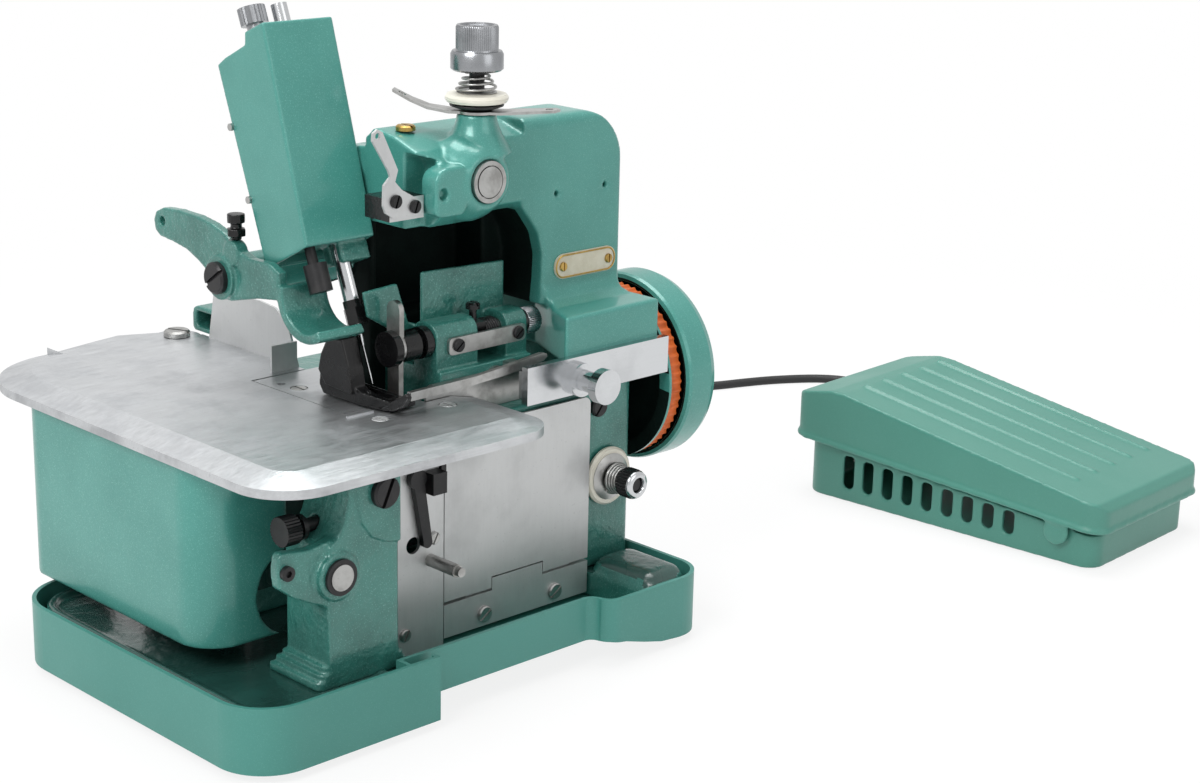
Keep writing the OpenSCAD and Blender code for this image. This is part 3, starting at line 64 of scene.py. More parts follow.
# %% [markdown]
# ## Camera
# A product picture of a machine this size is taken from about a metre, a little above, so the
# cloth plate and the pedal both show their tops. A long lens keeps upright edges nearly parallel.
# %% Camera
AZIMUTH, PITCH, ROLL = (math.radians(a) for a in (-44.7, 16.2, 1.35))
CAMERA_AT, LENS, SENSOR = Vector((-0.795275, -0.780902, 0.4231)), 68.4, 36
look = Vector((-math.sin(AZIMUTH) * math.cos(PITCH), math.cos(AZIMUTH) * math.cos(PITCH),
               -math.sin(PITCH)))
level = Vector((math.cos(AZIMUTH), math.sin(AZIMUTH), 0))
upright = level.cross(look)
side = math.cos(ROLL) * level + math.sin(ROLL) * upright
crown = -math.sin(ROLL) * level + math.cos(ROLL) * upright
camera = bpy.data.objects.new("studio_camera", bpy.data.cameras.new("studio_camera"))
camera.data.sensor_width = SENSOR
camera.data.lens = LENS
pose = Matrix((side, crown, -look)).transposed().to_4x4()
pose.translation = CAMERA_AT
camera.matrix_world = pose
bpy.context.collection.objects.link(camera)
bpy.context.scene.camera = camera
print("lens", camera.data.lens, "from", tuple(round(c, 3) for c in pose.translation))

# %% [markdown]
# ## Mesh helpers
# Three ways of making a piece are used again and again: a tube swept along points, a profile
# turned on a lathe, and a casting, whose edges and inner corners are all rounded. Each gives a
# mesh that `piece` then names, places on its body and gives a finish.
# %% Helpers for pieces


def piece(name, mesh, finish, body="root", stands_for=(), smooth_angle=40):
    obj = bpy.data.objects.new(name, mesh)
    bpy.context.collection.objects.link(obj)
    obj.data.materials.clear()
    obj.data.materials.append(finish)
    if smooth_angle:
        mesh.shade_smooth()
        mesh.set_sharp_from_angle(angle=math.radians(smooth_angle))
    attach(obj, body)
    if stands_for:
        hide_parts(*stands_for)
    return obj


def mesh_of(name, verts, faces):
    mesh = bpy.data.meshes.new(name)
    mesh.from_pydata([tuple(v) for v in verts], [], faces)
    mesh.validate()
    return mesh


def tube(name, points, radius, sides=10):
    """A round tube along points (metres), carried without twist, with closed ends."""
    verts, faces = [], []
    n = len(points)
    heads = [(points[min(i + 1, n - 1)] - points[max(i - 1, 0)]).normalized() for i in range(n)]
    across = heads[0].orthogonal().normalized()
    for i, (p, t) in enumerate(zip(points, heads)):
        across = (across - across.dot(t) * t).normalized()
        lift = t.cross(across)
        r = radius[i] if isinstance(radius, list) else radius
        for k in range(sides):
            a = 2 * math.pi * k / sides
            verts.append(p + r * (math.cos(a) * across + math.sin(a) * lift))
    for i in range(n - 1):
        for k in range(sides):
            m = (k + 1) % sides
            faces.append((i * sides + k, i * sides + m, (i + 1) * sides + m, (i + 1) * sides + k))
    faces.append(tuple(reversed(range(sides))))
    faces.append(tuple((n - 1) * sides + k for k in range(sides)))
    return mesh_of(name, verts, faces)


def axis_frame(origin, direction):
    """A matrix whose Z axis runs along direction from origin."""
    z = Vector(direction).normalized()
    x = z.orthogonal().normalized()
    m = Matrix((x, z.cross(x), z)).transposed().to_4x4()
    m.translation = origin
    return m


def lathe(name, profile, place, segments=72, teeth=0, depth=0.0, toothed=()):
    """Turns (radius, height) in mm about place's Z axis; rings named in toothed are knurled."""
    verts, faces = [], []
    n = segments
    for i, (r, h) in enumerate(profile):
        for k in range(n):
            a = 2 * math.pi * k / n
            rr = r
            if i in toothed:
                rr -= depth * (0.5 + 0.5 * math.cos(teeth * a))
            verts.append(place @ Vector((rr * MM * math.cos(a), rr * MM * math.sin(a), h * MM)))
    for i in range(len(profile) - 1):
        for k in range(n):
            m = (k + 1) % n
            faces.append((i * n + k, i * n + m, (i + 1) * n + m, (i + 1) * n + k))
    mesh = mesh_of(name, verts, faces)
    bm = bmesh.new()
    bm.from_mesh(mesh)
    bmesh.ops.remove_doubles(bm, verts=bm.verts, dist=1e-7)
    bmesh.ops.recalc_face_normals(bm, faces=bm.faces)
    bm.to_mesh(mesh)
    bm.free()
    return mesh


def coil_points(place, r0, r1, h0, h1, turns, per_turn=28):
    """Points of a spring, in place's frame, from radius r0 at height h0 to r1 at h1 (mm)."""
    count = int(turns * per_turn)
    points = []
    for i in range(count + 1):
        t = i / count
        a = 2 * math.pi * turns * t
        r = (r0 + (r1 - r0) * t) * MM
        h = (h0 + (h1 - h0) * t) * MM
        points.append(place @ Vector((r * math.cos(a), r * math.sin(a), h)))
    return points


def baked(obj):
    """The mesh that obj's modifiers give."""
    graph = bpy.context.evaluated_depsgraph_get()
    return bpy.data.meshes.new_from_object(obj.evaluated_get(graph))


def cast_mesh(name, node_names, voxel, rounds):
    """Fuses CAD nodes into one skin and eases its edges and corners, as a casting's are."""
    bm = bmesh.new()
    for n in node_names:
        bm.from_mesh(nodes[n].data)
    mesh = bpy.data.meshes.new(name)
    bm.to_mesh(mesh)
    bm.free()
    blank = bpy.data.objects.new(name + "_blank", mesh)
    bpy.context.collection.objects.link(blank)
    skin = blank.modifiers.new("skin", "REMESH")
    skin.mode = "VOXEL"
    skin.voxel_size = voxel * MM
    ease = blank.modifiers.new("ease", "SMOOTH")
    ease.factor = 0.5
    ease.iterations = rounds
    result = baked(blank)
    bpy.data.objects.remove(blank)
    return result


BEVEL_SEGMENTS, BEVEL_ANGLE, FLAT_ANGLE = 2, math.radians(32), math.radians(0.5)


def break_edges(obj, width):
    """Merges obj's flats, breaks its edges by width mm and evens out the shading."""
    obj.data.shade_smooth()
    flats = obj.modifiers.new("merge flats", "DECIMATE")
    flats.decimate_type = "DISSOLVE"
    flats.angle_limit = FLAT_ANGLE
    edge = obj.modifiers.new("broken edge", "BEVEL")
    edge.width = width * MM
    edge.segments = BEVEL_SEGMENTS
    edge.limit_method = "ANGLE"
    edge.angle_limit = BEVEL_ANGLE
    edge.use_clamp_overlap = True
    soft = obj.modifiers.new("even shading", "WEIGHTED_NORMAL")
    soft.keep_sharp = True


def crisp(node, finish, width):
    """A machined or sheet node keeps its solid and gets a finish and fine bevels."""
    obj = nodes[node]
    obj.data.materials.clear()
    obj.data.materials.append(finish)
    break_edges(obj, width)


def in_mm(point):
    """A place of the model in the drawing's millimetres."""
    return Vector((point.x / MM + MID_X, point.y / MM + MID_Y, point.z / MM))


def finish_parts(mesh, finishes, pick):
    """Gives each face the finish that pick(centre in mm, normal) numbers; None drops the face."""
    mesh.materials.clear()
    for mat in finishes:
        mesh.materials.append(mat)
    drop = []
    for face in mesh.polygons:
        number = pick(in_mm(face.center), face.normal)
        if number is None:
            drop.append(face.index)
        else:
            face.material_index = number
    if drop:
        bm = bmesh.new()
        bm.from_mesh(mesh)
        bm.faces.ensure_lookup_table()
        bmesh.ops.delete(bm, geom=[bm.faces[i] for i in drop], context="FACES")
        bm.to_mesh(mesh)
        bm.free()


def two_tone(name, node, width, finishes, pick, body):
    """A copy of a crisp node whose faces carry more than one finish."""
    blank = bpy.data.objects.new(name + "_blank", nodes[node].data.copy())
    bpy.context.collection.objects.link(blank)
    break_edges(blank, width)
    mesh = baked(blank)
    bpy.data.objects.remove(blank)
    obj = piece(name, mesh, finishes[0], body, (node,), smooth_angle=0)
    finish_parts(mesh, finishes, pick)
    return obj


print("helpers ready")

# %% [markdown]
# ## The pedal's cord
# The cord is one fixed length. It leaves a gland behind the motor, drops to the table and lies in
# a small round coil behind the machine; from there it runs out past the handwheel and loops back
# to the pedal's rear wall. The coil is wound in on the lower layer and out on the upper one.
# %% Cord route
CORD_D = 5.6
LOW, HIGH = 2.85, 8.45
lead = [(225, 250, 72), (225, 262, 72), (227, 273, 62), (233, 281, 44), (243, 286, 24),
        (256, 287, 9), (272, 285, LOW), (290, 279, LOW), (310, 272, LOW), (330, 265, LOW),
        (350, 258.6, LOW), (366, 255, LOW), (380, 253.4, LOW), (396, 253, LOW)]
COIL_X, COIL_Y, OUTER, INNER = 410, 287.6, 34.6, 29.0
TURNS, STEPS = 4.125, 24
coil = []
for i in range(1, int(TURNS * STEPS)):
    turn = i / STEPS
    inward = min(max((turn - 0.75) / 0.5, 0), 1) - min(max((turn - 2.75) / 0.5, 0), 1)
    climb = min(max((turn - 1.75) / 0.5, 0), 1)
    a = math.radians(-90 + 360 * turn)
    r = OUTER + (INNER - OUTER) * inward
    coil.append((COIL_X + r * math.cos(a), COIL_Y + r * math.sin(a), LOW + (HIGH - LOW) * climb))
run = [(444.5, 273.1, 8.3), (452, 280.8, 7.2), (460, 288.3, 5.4), (470, 296.5, 3.7),
       (485, 304.5, LOW), (505, 311, LOW), (524, 312, LOW), (544, 307, LOW), (564, 299, LOW),
       (580, 291, LOW), (591, 286, LOW), (608, 280, LOW), (626, 272.5, LOW), (644, 262, LOW),
       (656, 252, LOW), (664, 240, LOW), (666, 226, LOW), (662, 212, LOW), (652, 199, LOW),
       (636, 187, LOW), (616, 177, LOW), (594, 168.5, LOW), (572, 162, LOW), (550, 155.5, 3.4),
       (534, 149, 6), (522.4, 141, 9.8), (518.9, 133, 12), (518.7, 126, 12)]
route = [at(*p) for p in lead + coil + run]


def smooth_route(points, between=3):
    """Catmull-Rom points through the route, so that no bend shows a corner."""
    out = []
    ends = [points[0]] + points + [points[-1]]
    for i in range(1, len(ends) - 2):
        a, b, c, d = ends[i - 1:i + 3]
        for k in range(between):
            t = k / between
            out.append(0.5 * ((2 * b) + (c - a) * t + (2 * a - 5 * b + 4 * c - d) * t * t
                              + (3 * b - a - 3 * c + d) * t ** 3))
    out.append(points[-1])
    return out


cord_path = smooth_route(route)

# %% [markdown]
# ## Studio
# A product is shown on white. The floor reads white to the camera, to reflections and through
# glass, and the world past the floor's edge reads pale grey to them. The light that falls on
# things comes from the lamps and a plain fill, so colours render as written. Near
# the machine a part of the floor's own shading is kept, and with it a soft shadow. FADE raises
# the share that glows from 0.84 to 1 over the distance from 0.35 to 0.9 m.
# %% Floor and world


def seen_directly(tree):
    """1 for camera, glossy and transmission rays, 0 for the light that falls on things."""
    path = tree.nodes.new("ShaderNodeLightPath")
    seen = path.outputs["Is Camera Ray"]
    for label in ("Is Glossy Ray", "Is Transmission Ray"):
        add = tree.nodes.new("ShaderNodeMath")
        add.operation = "MAXIMUM"
        tree.links.new(seen, add.inputs[0])
        tree.links.new(path.outputs[label], add.inputs[1])
        seen = add.outputs[0]
    return seen


FILL_LIGHT, PAPER_GREY, FLOOR = 0.42, 0.86, 6.0
FADE = {"From Min": 0.35, "From Max": 0.9, "To Min": 0.84, "To Max": 1.0}
bpy.context.scene.view_settings.view_transform = "Standard"
world = bpy.data.worlds.new("white_studio")
world.use_nodes = True
bpy.context.scene.world = world
sky = world.node_tree
fill = sky.nodes["Background"]
fill.inputs["Color"].default_value = (1, 1, 1, 1)
fill.inputs["Strength"].default_value = FILL_LIGHT
white = sky.nodes.new("ShaderNodeBackground")
white.inputs["Strength"].default_value = 1.0
choose = sky.nodes.new("ShaderNodeMixShader")
sky.links.new(seen_directly(sky), choose.inputs[0])
sky.links.new(fill.outputs[0], choose.inputs[1])
sky.links.new(white.outputs[0], choose.inputs[2])
sky.links.new(choose.outputs[0], sky.nodes["World Output"].inputs["Surface"])
paper = bpy.data.materials.new("white_floor")
paper.use_nodes = True
tree = paper.node_tree
tree.nodes.remove(tree.nodes["Principled BSDF"])
matte = tree.nodes.new("ShaderNodeBsdfDiffuse")
matte.inputs["Color"].default_value = (PAPER_GREY, PAPER_GREY, PAPER_GREY, 1)
glow = tree.nodes.new("ShaderNodeEmission")
glow.inputs["Strength"].default_value = 1.0
far = tree.nodes.new("ShaderNodeVectorMath")
far.operation = "LENGTH"
tree.links.new(tree.nodes.new("ShaderNodeTexCoord").outputs["Object"], far.inputs[0])
fade = tree.nodes.new("ShaderNodeMapRange")
for label, value in FADE.items():
    fade.inputs[label].default_value = value
tree.links.new(far.outputs["Value"], fade.inputs["Value"])
share = tree.nodes.new("ShaderNodeMath")
share.operation = "MULTIPLY"
tree.links.new(fade.outputs["Result"], share.inputs[1])
mixed = tree.nodes.new("ShaderNodeMixShader")
tree.links.new(seen_directly(tree), share.inputs[0])
tree.links.new(share.outputs[0], mixed.inputs[0])
tree.links.new(matte.outputs[0], mixed.inputs[1])
tree.links.new(glow.outputs[0], mixed.inputs[2])
tree.links.new(mixed.outputs[0], tree.nodes["Material Output"].inputs["Surface"])
floor = bpy.data.objects.new("floor", mesh_of(
    "floor", [(-FLOOR, -FLOOR, 0), (FLOOR, -FLOOR, 0), (FLOOR, FLOOR, 0), (-FLOOR, FLOOR, 0)],
    [(0, 1, 2, 3)]))
floor.data.materials.append(paper)
bpy.context.collection.objects.link(floor)
print("floor", 2 * FLOOR, "m")
# %% Lamps


def soft_box(name, place, target, size, power):
    """A square area lamp that faces target."""
    lamp = bpy.data.lights.new(name, "AREA")
    lamp.shape = "SQUARE"
    lamp.size = size
    lamp.energy = power
    obj = bpy.data.objects.new(name, lamp)
    obj.location = place
    obj.rotation_euler = (Vector(target) - Vector(place)).to_track_quat("-Z", "Y").to_euler()
    bpy.context.collection.objects.link(obj)


soft_box("key", (-1.6, -0.3, 1.5), (0, 0, 0.12), 1.0, 24)
soft_box("front fill", (0.2, -2.0, 1.0), (0, 0, 0.12), 1.2, 5.5)
soft_box("top", (0.1, 0.3, 1.8), (0, 0, 0.1), 1.2, 26)
print("lamps", len(bpy.data.lights))

# %% [markdown]
# ## Finishes
# Two effects serve nearly every surface. `paint skin` is sprayed enamel: a base colour clouded by
# uneven thickness, fine bright flecks, and the peel and lumps of the casting under it.
# `ground metal` is bare metal whose tone and roughness run along the direction it was ground in.
# Both give only values that change over the surface; the shader stays in each material.
# %% Building blocks for effects


def effect_group(name, inputs, outputs):
    group = bpy.data.node_groups.new(name, "ShaderNodeTree")
    for label, kind, value in inputs:
        socket = group.interface.new_socket(label, in_out="INPUT", socket_type=kind)
        socket.default_value = value
    for label, kind in outputs:
        group.interface.new_socket(label, in_out="OUTPUT", socket_type=kind)
    return group, group.nodes.new("NodeGroupInput"), group.nodes.new("NodeGroupOutput")


def noise_node(tree, vector, scale, detail=2.0, rough=0.5):
    """A noise texture; scale is a number or a socket."""
    tex = tree.nodes.new("ShaderNodeTexNoise")
    tex.inputs["Detail"].default_value = detail
    tex.inputs["Roughness"].default_value = rough
    tree.links.new(vector, tex.inputs["Vector"])
    if isinstance(scale, (int, float)):
        tex.inputs["Scale"].default_value = scale
    else:
        tree.links.new(scale, tex.inputs["Scale"])
    return tex.outputs["Fac"]


def band(tree, value, low, high):
    """Smooth step of value from low to high, 0 to 1."""
    ramp = tree.nodes.new("ShaderNodeMapRange")
    ramp.interpolation_type = "SMOOTHSTEP"
    ramp.inputs["From Min"].default_value = low
    ramp.inputs["From Max"].default_value = high
    tree.links.new(value, ramp.inputs["Value"])
    return ramp.outputs["Result"]


def calc(tree, operation, a, b):
    node = tree.nodes.new("ShaderNodeMath")
    node.operation = operation
    for socket, value in zip(node.inputs, (a, b)):
        if isinstance(value, (int, float)):
            socket.default_value = value
        else:
            tree.links.new(value, socket)
    return node.outputs[0]


def blend_colours(tree, amount, a, b):
    node = tree.nodes.new("ShaderNodeMix")
    node.data_type = "RGBA"
    tree.links.new(amount, node.inputs["Factor"])
    for socket, value in ((node.inputs["A"], a), (node.inputs["B"], b)):
        if isinstance(value, tuple):
            socket.default_value = value
        else:
            tree.links.new(value, socket)
    return node.outputs["Result"]


GREY = (0.5, 0.5, 0.5, 1)
NUM, COL, VEC = "NodeSocketFloat", "NodeSocketColor", "NodeSocketVector"
skin, gin, gout = effect_group(
    "paint skin",
    [("Base", COL, GREY), ("Shade", COL, GREY), ("Fleck", COL, GREY), ("Cloud Scale", NUM, 30),
     ("Cloud Amount", NUM, 0.4), ("Fleck Scale", NUM, 2200), ("Fleck Amount", NUM, 0.3),
     ("Gloss", NUM, 0.3), ("Peel Scale", NUM, 420), ("Lump Scale", NUM, 150),
     ("Lump Share", NUM, 0.5)],
    [("Color", COL), ("Roughness", NUM), ("Height", NUM)])
spot = skin.nodes.new("ShaderNodeTexCoord").outputs["Object"]
cloud = band(skin, noise_node(skin, spot, gin.outputs["Cloud Scale"], 4.0), 0.35, 0.7)
fleck = band(skin, noise_node(skin, spot, gin.outputs["Fleck Scale"], 1.0), 0.56, 0.74)
tone = blend_colours(skin, calc(skin, "MULTIPLY", cloud, gin.outputs["Cloud Amount"]),
                     gin.outputs["Base"], gin.outputs["Shade"])
tone = blend_colours(skin, calc(skin, "MULTIPLY", fleck, gin.outputs["Fleck Amount"]),
                     tone, gin.outputs["Fleck"])
peel = noise_node(skin, spot, gin.outputs["Peel Scale"], 2.0)
lump = noise_node(skin, spot, gin.outputs["Lump Scale"], 3.0)
height = calc(skin, "ADD", calc(skin, "MULTIPLY", lump, gin.outputs["Lump Share"]),
              calc(skin, "MULTIPLY", peel, 0.35))
matt = calc(skin, "ADD", gin.outputs["Gloss"], calc(skin, "MULTIPLY", cloud, 0.12))
for label, socket in (("Color", tone), ("Roughness", matt), ("Height", height)):
    skin.links.new(socket, gout.inputs[label])
print("group", skin.name, len(skin.nodes), "nodes")
# %% Bare metal
metal, gin, gout = effect_group(
    "ground metal",
    [("Base", COL, GREY), ("Stain", COL, GREY), ("Grain", VEC, (60, 60, 1500)),
     ("Grain Tone", NUM, 0.3), ("Stain Scale", NUM, 25), ("Stain Amount", NUM, 0.3),
     ("Polish", NUM, 0.25), ("Spread", NUM, 0.15)],
    [("Color", COL), ("Roughness", NUM), ("Height", NUM)])
spot = metal.nodes.new("ShaderNodeTexCoord").outputs["Object"]
stretch = metal.nodes.new("ShaderNodeVectorMath")
stretch.operation = "MULTIPLY"
metal.links.new(spot, stretch.inputs[0])
metal.links.new(gin.outputs["Grain"], stretch.inputs[1])
grain = noise_node(metal, stretch.outputs[0], 1.0, 3.0, 0.6)
mottle = noise_node(metal, spot, gin.outputs["Stain Scale"], 5.0, 0.6)
pits = band(metal, noise_node(metal, spot, 700, 1.0), 0.68, 0.76)
dull = calc(metal, "MULTIPLY", band(metal, mottle, 0.42, 0.72), gin.outputs["Stain Amount"])
mark = calc(metal, "MAXIMUM", dull, calc(metal, "MULTIPLY", pits, 0.25))
tone = blend_colours(metal, mark, gin.outputs["Base"], gin.outputs["Stain"])
line = calc(metal, "MULTIPLY", calc(metal, "SUBTRACT", grain, 0.5), gin.outputs["Grain Tone"])
lit = metal.nodes.new("ShaderNodeVectorMath")
lit.operation = "SCALE"
metal.links.new(tone, lit.inputs[0])
metal.links.new(calc(metal, "ADD", line, 1.0), lit.inputs["Scale"])
polish = calc(metal, "ADD", gin.outputs["Polish"],
              calc(metal, "MULTIPLY", calc(metal, "ADD", dull, grain), gin.outputs["Spread"]))
for label, socket in (("Color", lit.outputs[0]), ("Roughness", polish), ("Height", grain)):
    metal.links.new(socket, gout.inputs[label])
print("group", metal.name, len(metal.nodes), "nodes")

# %% [markdown]
# A finish is one Principled shader, fed by an effect group. Numbers that are the same all over,
# such as metallic or coat, are set on the shader itself.
# %% A finish from a group


def rgb(*c):
    """A colour as seen on a screen, 0 to 255, in linear light."""
    return tuple(((v / 255 + 0.055) / 1.055) ** 2.4 if v > 10 else v / 3294.6 for v in c) + (1.0,)


def finish(name, group, values, bump, **shader):
    """A Principled material fed by group; bump is the relief's height in metres."""
    mat = bpy.data.materials.new(name)
    mat.use_nodes = True
    tree = mat.node_tree
    bsdf = tree.nodes["Principled BSDF"]
    for label, value in shader.items():
        bsdf.inputs[label.replace("_", " ").title().replace("Ior", "IOR")].default_value = value
    effect = tree.nodes.new("ShaderNodeGroup")
    effect.node_tree = group
    for label, value in values.items():
        effect.inputs[label].default_value = value
    tree.links.new(effect.outputs["Color"], bsdf.inputs["Base Color"])
    tree.links.new(effect.outputs["Roughness"], bsdf.inputs["Roughness"])
    relief = tree.nodes.new("ShaderNodeBump")
    relief.inputs["Distance"].default_value = bump
    relief.inputs["Strength"].default_value = 1.0
    tree.links.new(effect.outputs["Height"], relief.inputs["Height"])
    tree.links.new(relief.outputs["Normal"], bsdf.inputs["Normal"])
    mat.diffuse_color = values["Base"]
    return mat


GREEN, DEEP, SPARK = rgb(68, 144, 134), rgb(48, 122, 113), rgb(140, 200, 188)
enamel = finish("green_enamel", skin, {
    "Base": GREEN, "Shade": DEEP, "Fleck": SPARK, "Cloud Scale": 22, "Cloud Amount": 0.35,
    "Fleck Scale": 2400, "Fleck Amount": 0.35, "Gloss": 0.3, "Peel Scale": 500,
    "Lump Scale": 90, "Lump Share": 0.3}, bump=0.00022, metallic=0.15, coat_weight=0.5,
    coat_roughness=0.1)
rough_enamel = finish("cast_green_enamel", skin, {
    "Base": rgb(54, 122, 112), "Shade": rgb(30, 80, 73), "Fleck": SPARK, "Cloud Scale": 40,
    "Cloud Amount": 0.5, "Fleck Scale": 1500, "Fleck Amount": 0.3, "Gloss": 0.28,
    "Peel Scale": 420, "Lump Scale": 150, "Lump Share": 0.85}, bump=0.0009, metallic=0.12,
    coat_weight=0.5, coat_roughness=0.12)
tray_enamel = finish("tray_green_enamel", skin, {
    "Base": rgb(66, 136, 126), "Shade": rgb(56, 124, 114), "Fleck": SPARK, "Cloud Scale": 9,
    "Cloud Amount": 0.4, "Fleck Scale": 2400, "Fleck Amount": 0.12, "Gloss": 0.42,
    "Peel Scale": 380, "Lump Scale": 60, "Lump Share": 0.4}, bump=0.0001, coat_weight=0.15,
    coat_roughness=0.3)
pedal_enamel = finish("pedal_green_enamel", skin, {
    "Base": rgb(70, 134, 120), "Shade": rgb(58, 122, 108), "Fleck": SPARK, "Cloud Scale": 14,
    "Cloud Amount": 0.3, "Fleck Scale": 2600, "Fleck Amount": 0.1, "Gloss": 0.38,
    "Peel Scale": 500, "Lump Scale": 80, "Lump Share": 0.3}, bump=0.00008, coat_weight=0.2,
    coat_roughness=0.25)
print("enamels", enamel.name, rough_enamel.name, tray_enamel.name, pedal_enamel.name)
# %% Metals, rubbers and plastics
aluminium = finish("brushed_aluminium", metal, {
    "Base": rgb(204, 206, 208), "Stain": rgb(138, 140, 143), "Grain": (60, 1100, 900),
    "Grain Tone": 0.34, "Stain Scale": 38, "Stain Amount": 0.5, "Polish": 0.24,
    "Spread": 0.26}, bump=0.00006, metallic=1.0)
sheet = finish("sheet_steel", metal, {
    "Base": rgb(204, 205, 205), "Stain": rgb(164, 165, 166), "Grain": (700, 700, 60),
    "Grain Tone": 0.14, "Stain Scale": 30, "Stain Amount": 0.35, "Polish": 0.4,
    "Spread": 0.2}, bump=0.00004, metallic=0.85)
steel = finish("machined_steel", metal, {
    "Base": rgb(178, 178, 176), "Stain": rgb(110, 108, 104), "Grain": (500, 500, 500),
    "Grain Tone": 0.2, "Stain Scale": 120, "Stain Amount": 0.5, "Polish": 0.24,
    "Spread": 0.2}, bump=0.00004, metallic=1.0)
bright = finish("bright_chrome", metal, {
    "Base": rgb(208, 210, 212), "Stain": rgb(168, 170, 172), "Grain": (40, 700, 700),
    "Grain Tone": 0.06, "Stain Scale": 30, "Stain Amount": 0.3, "Polish": 0.13,
    "Spread": 0.08}, bump=0.00001, metallic=1.0)
chrome = finish("satin_chrome", metal, {
    "Base": rgb(156, 158, 161), "Stain": rgb(104, 106, 108), "Grain": (300, 300, 300),
    "Grain Tone": 0.12, "Stain Scale": 70, "Stain Amount": 0.35, "Polish": 0.2,
    "Spread": 0.14}, bump=0.00002, metallic=1.0)
gloss_black = finish("gloss_black", skin, {
    "Base": rgb(12, 12, 13), "Shade": rgb(20, 20, 21), "Fleck": rgb(60, 60, 60),
    "Cloud Scale": 90, "Cloud Amount": 0.5, "Fleck Scale": 1800, "Fleck Amount": 0.15,
    "Gloss": 0.2, "Peel Scale": 700, "Lump Scale": 220, "Lump Share": 0.4}, bump=0.0002,
    specular_ior_level=0.4)
# Painted shade: a near-black green put on walls, hollows and gaps that lie in shade.
hollow_painted_shade = finish("painted_hollow_shade", skin, {
    "Base": rgb(10, 24, 21), "Shade": rgb(5, 12, 11), "Fleck": rgb(26, 48, 44),
    "Cloud Scale": 60, "Cloud Amount": 0.6, "Fleck Scale": 1500, "Fleck Amount": 0.2,
    "Gloss": 0.6, "Peel Scale": 420, "Lump Scale": 150, "Lump Share": 0.6}, bump=0.0003,
    specular_ior_level=0.12)
# Painted shade: a darker green put on the housing's walls behind the cover and on the bed's floor.
green_painted_shade = finish("green_painted_shade_enamel", skin, {
    "Base": rgb(40, 84, 77), "Shade": rgb(22, 46, 42), "Fleck": rgb(70, 120, 112),
    "Cloud Scale": 14, "Cloud Amount": 0.8, "Fleck Scale": 1500, "Fleck Amount": 0.15,
    "Gloss": 0.2, "Peel Scale": 300, "Lump Scale": 110, "Lump Share": 0.8}, bump=0.0008,
    coat_weight=0.5, coat_roughness=0.12)
black_steel = finish("black_oxide", metal, {
    "Base": rgb(26, 26, 28), "Stain": rgb(60, 58, 56), "Grain": (300, 300, 300),
    "Grain Tone": 0.2, "Stain Scale": 160, "Stain Amount": 0.3, "Polish": 0.3,
    "Spread": 0.2}, bump=0.00004, metallic=0.2)
brass = finish("brass", metal, {
    "Base": rgb(190, 158, 92), "Stain": rgb(120, 92, 48), "Grain": (400, 400, 400),
    "Grain Tone": 0.2, "Stain Scale": 200, "Stain Amount": 0.5, "Polish": 0.25,
    "Spread": 0.2}, bump=0.00003, metallic=1.0)
rubber = finish("black_rubber", skin, {
    "Base": rgb(24, 24, 25), "Shade": rgb(34, 34, 34), "Fleck": rgb(48, 48, 48),
    "Cloud Scale": 60, "Cloud Amount": 0.5, "Fleck Scale": 2500, "Fleck Amount": 0.3,
    "Gloss": 0.5, "Peel Scale": 900, "Lump Scale": 200, "Lump Share": 0.2}, bump=0.00006)
motor_black = finish("motor_black", skin, {
    "Base": rgb(30, 31, 32), "Shade": rgb(22, 22, 23), "Fleck": rgb(60, 62, 62),
    "Cloud Scale": 50, "Cloud Amount": 0.5, "Fleck Scale": 2000, "Fleck Amount": 0.3,
    "Gloss": 0.38, "Peel Scale": 500, "Lump Scale": 160, "Lump Share": 0.5}, bump=0.0002)
belt_orange = finish("orange_belt", skin, {
    "Base": rgb(214, 104, 44), "Shade": rgb(172, 74, 30), "Fleck": rgb(236, 150, 90),
    "Cloud Scale": 90, "Cloud Amount": 0.5, "Fleck Scale": 1800, "Fleck Amount": 0.2,
    "Gloss": 0.45, "Peel Scale": 700, "Lump Scale": 200, "Lump Share": 0.3}, bump=0.00006)
ivory = finish("ivory_plastic", skin, {
    "Base": rgb(226, 223, 210), "Shade": rgb(206, 200, 182), "Fleck": rgb(240, 238, 230),
    "Cloud Scale": 60, "Cloud Amount": 0.5, "Fleck Scale": 1500, "Fleck Amount": 0.2,
    "Gloss": 0.3, "Peel Scale": 500, "Lump Scale": 150, "Lump Share": 0.2}, bump=0.00004)
pale_plate = finish("pale_plate", skin, {
    "Base": rgb(214, 208, 190), "Shade": rgb(190, 180, 156), "Fleck": rgb(230, 226, 212),
    "Cloud Scale": 120, "Cloud Amount": 0.6, "Fleck Scale": 1500, "Fleck Amount": 0.2,
    "Gloss": 0.35, "Peel Scale": 600, "Lump Scale": 150, "Lump Share": 0.3}, bump=0.00005)
print("materials", len(bpy.data.materials))

# %% [markdown]
# ## The cord itself
# The cord is a plain round tube, so sweeping a circle along the route is the simplest true form.
# %% Cord
cord = piece("pedal_cord", tube("pedal_cord", cord_path, CORD_D / 2 * MM, 12), rubber,
             stands_for=("cord_tubes", "cord_coil"))
TIE_R, TIE_LIP, TIE_HALF, TIE_OVER = 8.0, 8.6, 3, 0.6
tie_at = axis_frame(at(COIL_X + (OUTER + INNER) / 2, COIL_Y, (LOW + HIGH) / 2), (0, 1, 0))
tie_ring = [(TIE_R, -TIE_HALF), (TIE_LIP, 0.4 - TIE_HALF), (TIE_LIP, TIE_HALF - 0.4),
            (TIE_R, TIE_HALF), (TIE_R, -TIE_HALF)]
tie = piece("cord_tie", lathe("cord_tie", tie_ring, tie_at, 40), rubber)
for v in tie.data.vertices:
    v.co.z = min(max(v.co.z, 0.0), at(0, 0, HIGH + CORD_D / 2 + TIE_OVER).z)
print("cord piece", len(cord.data.vertices), "points")

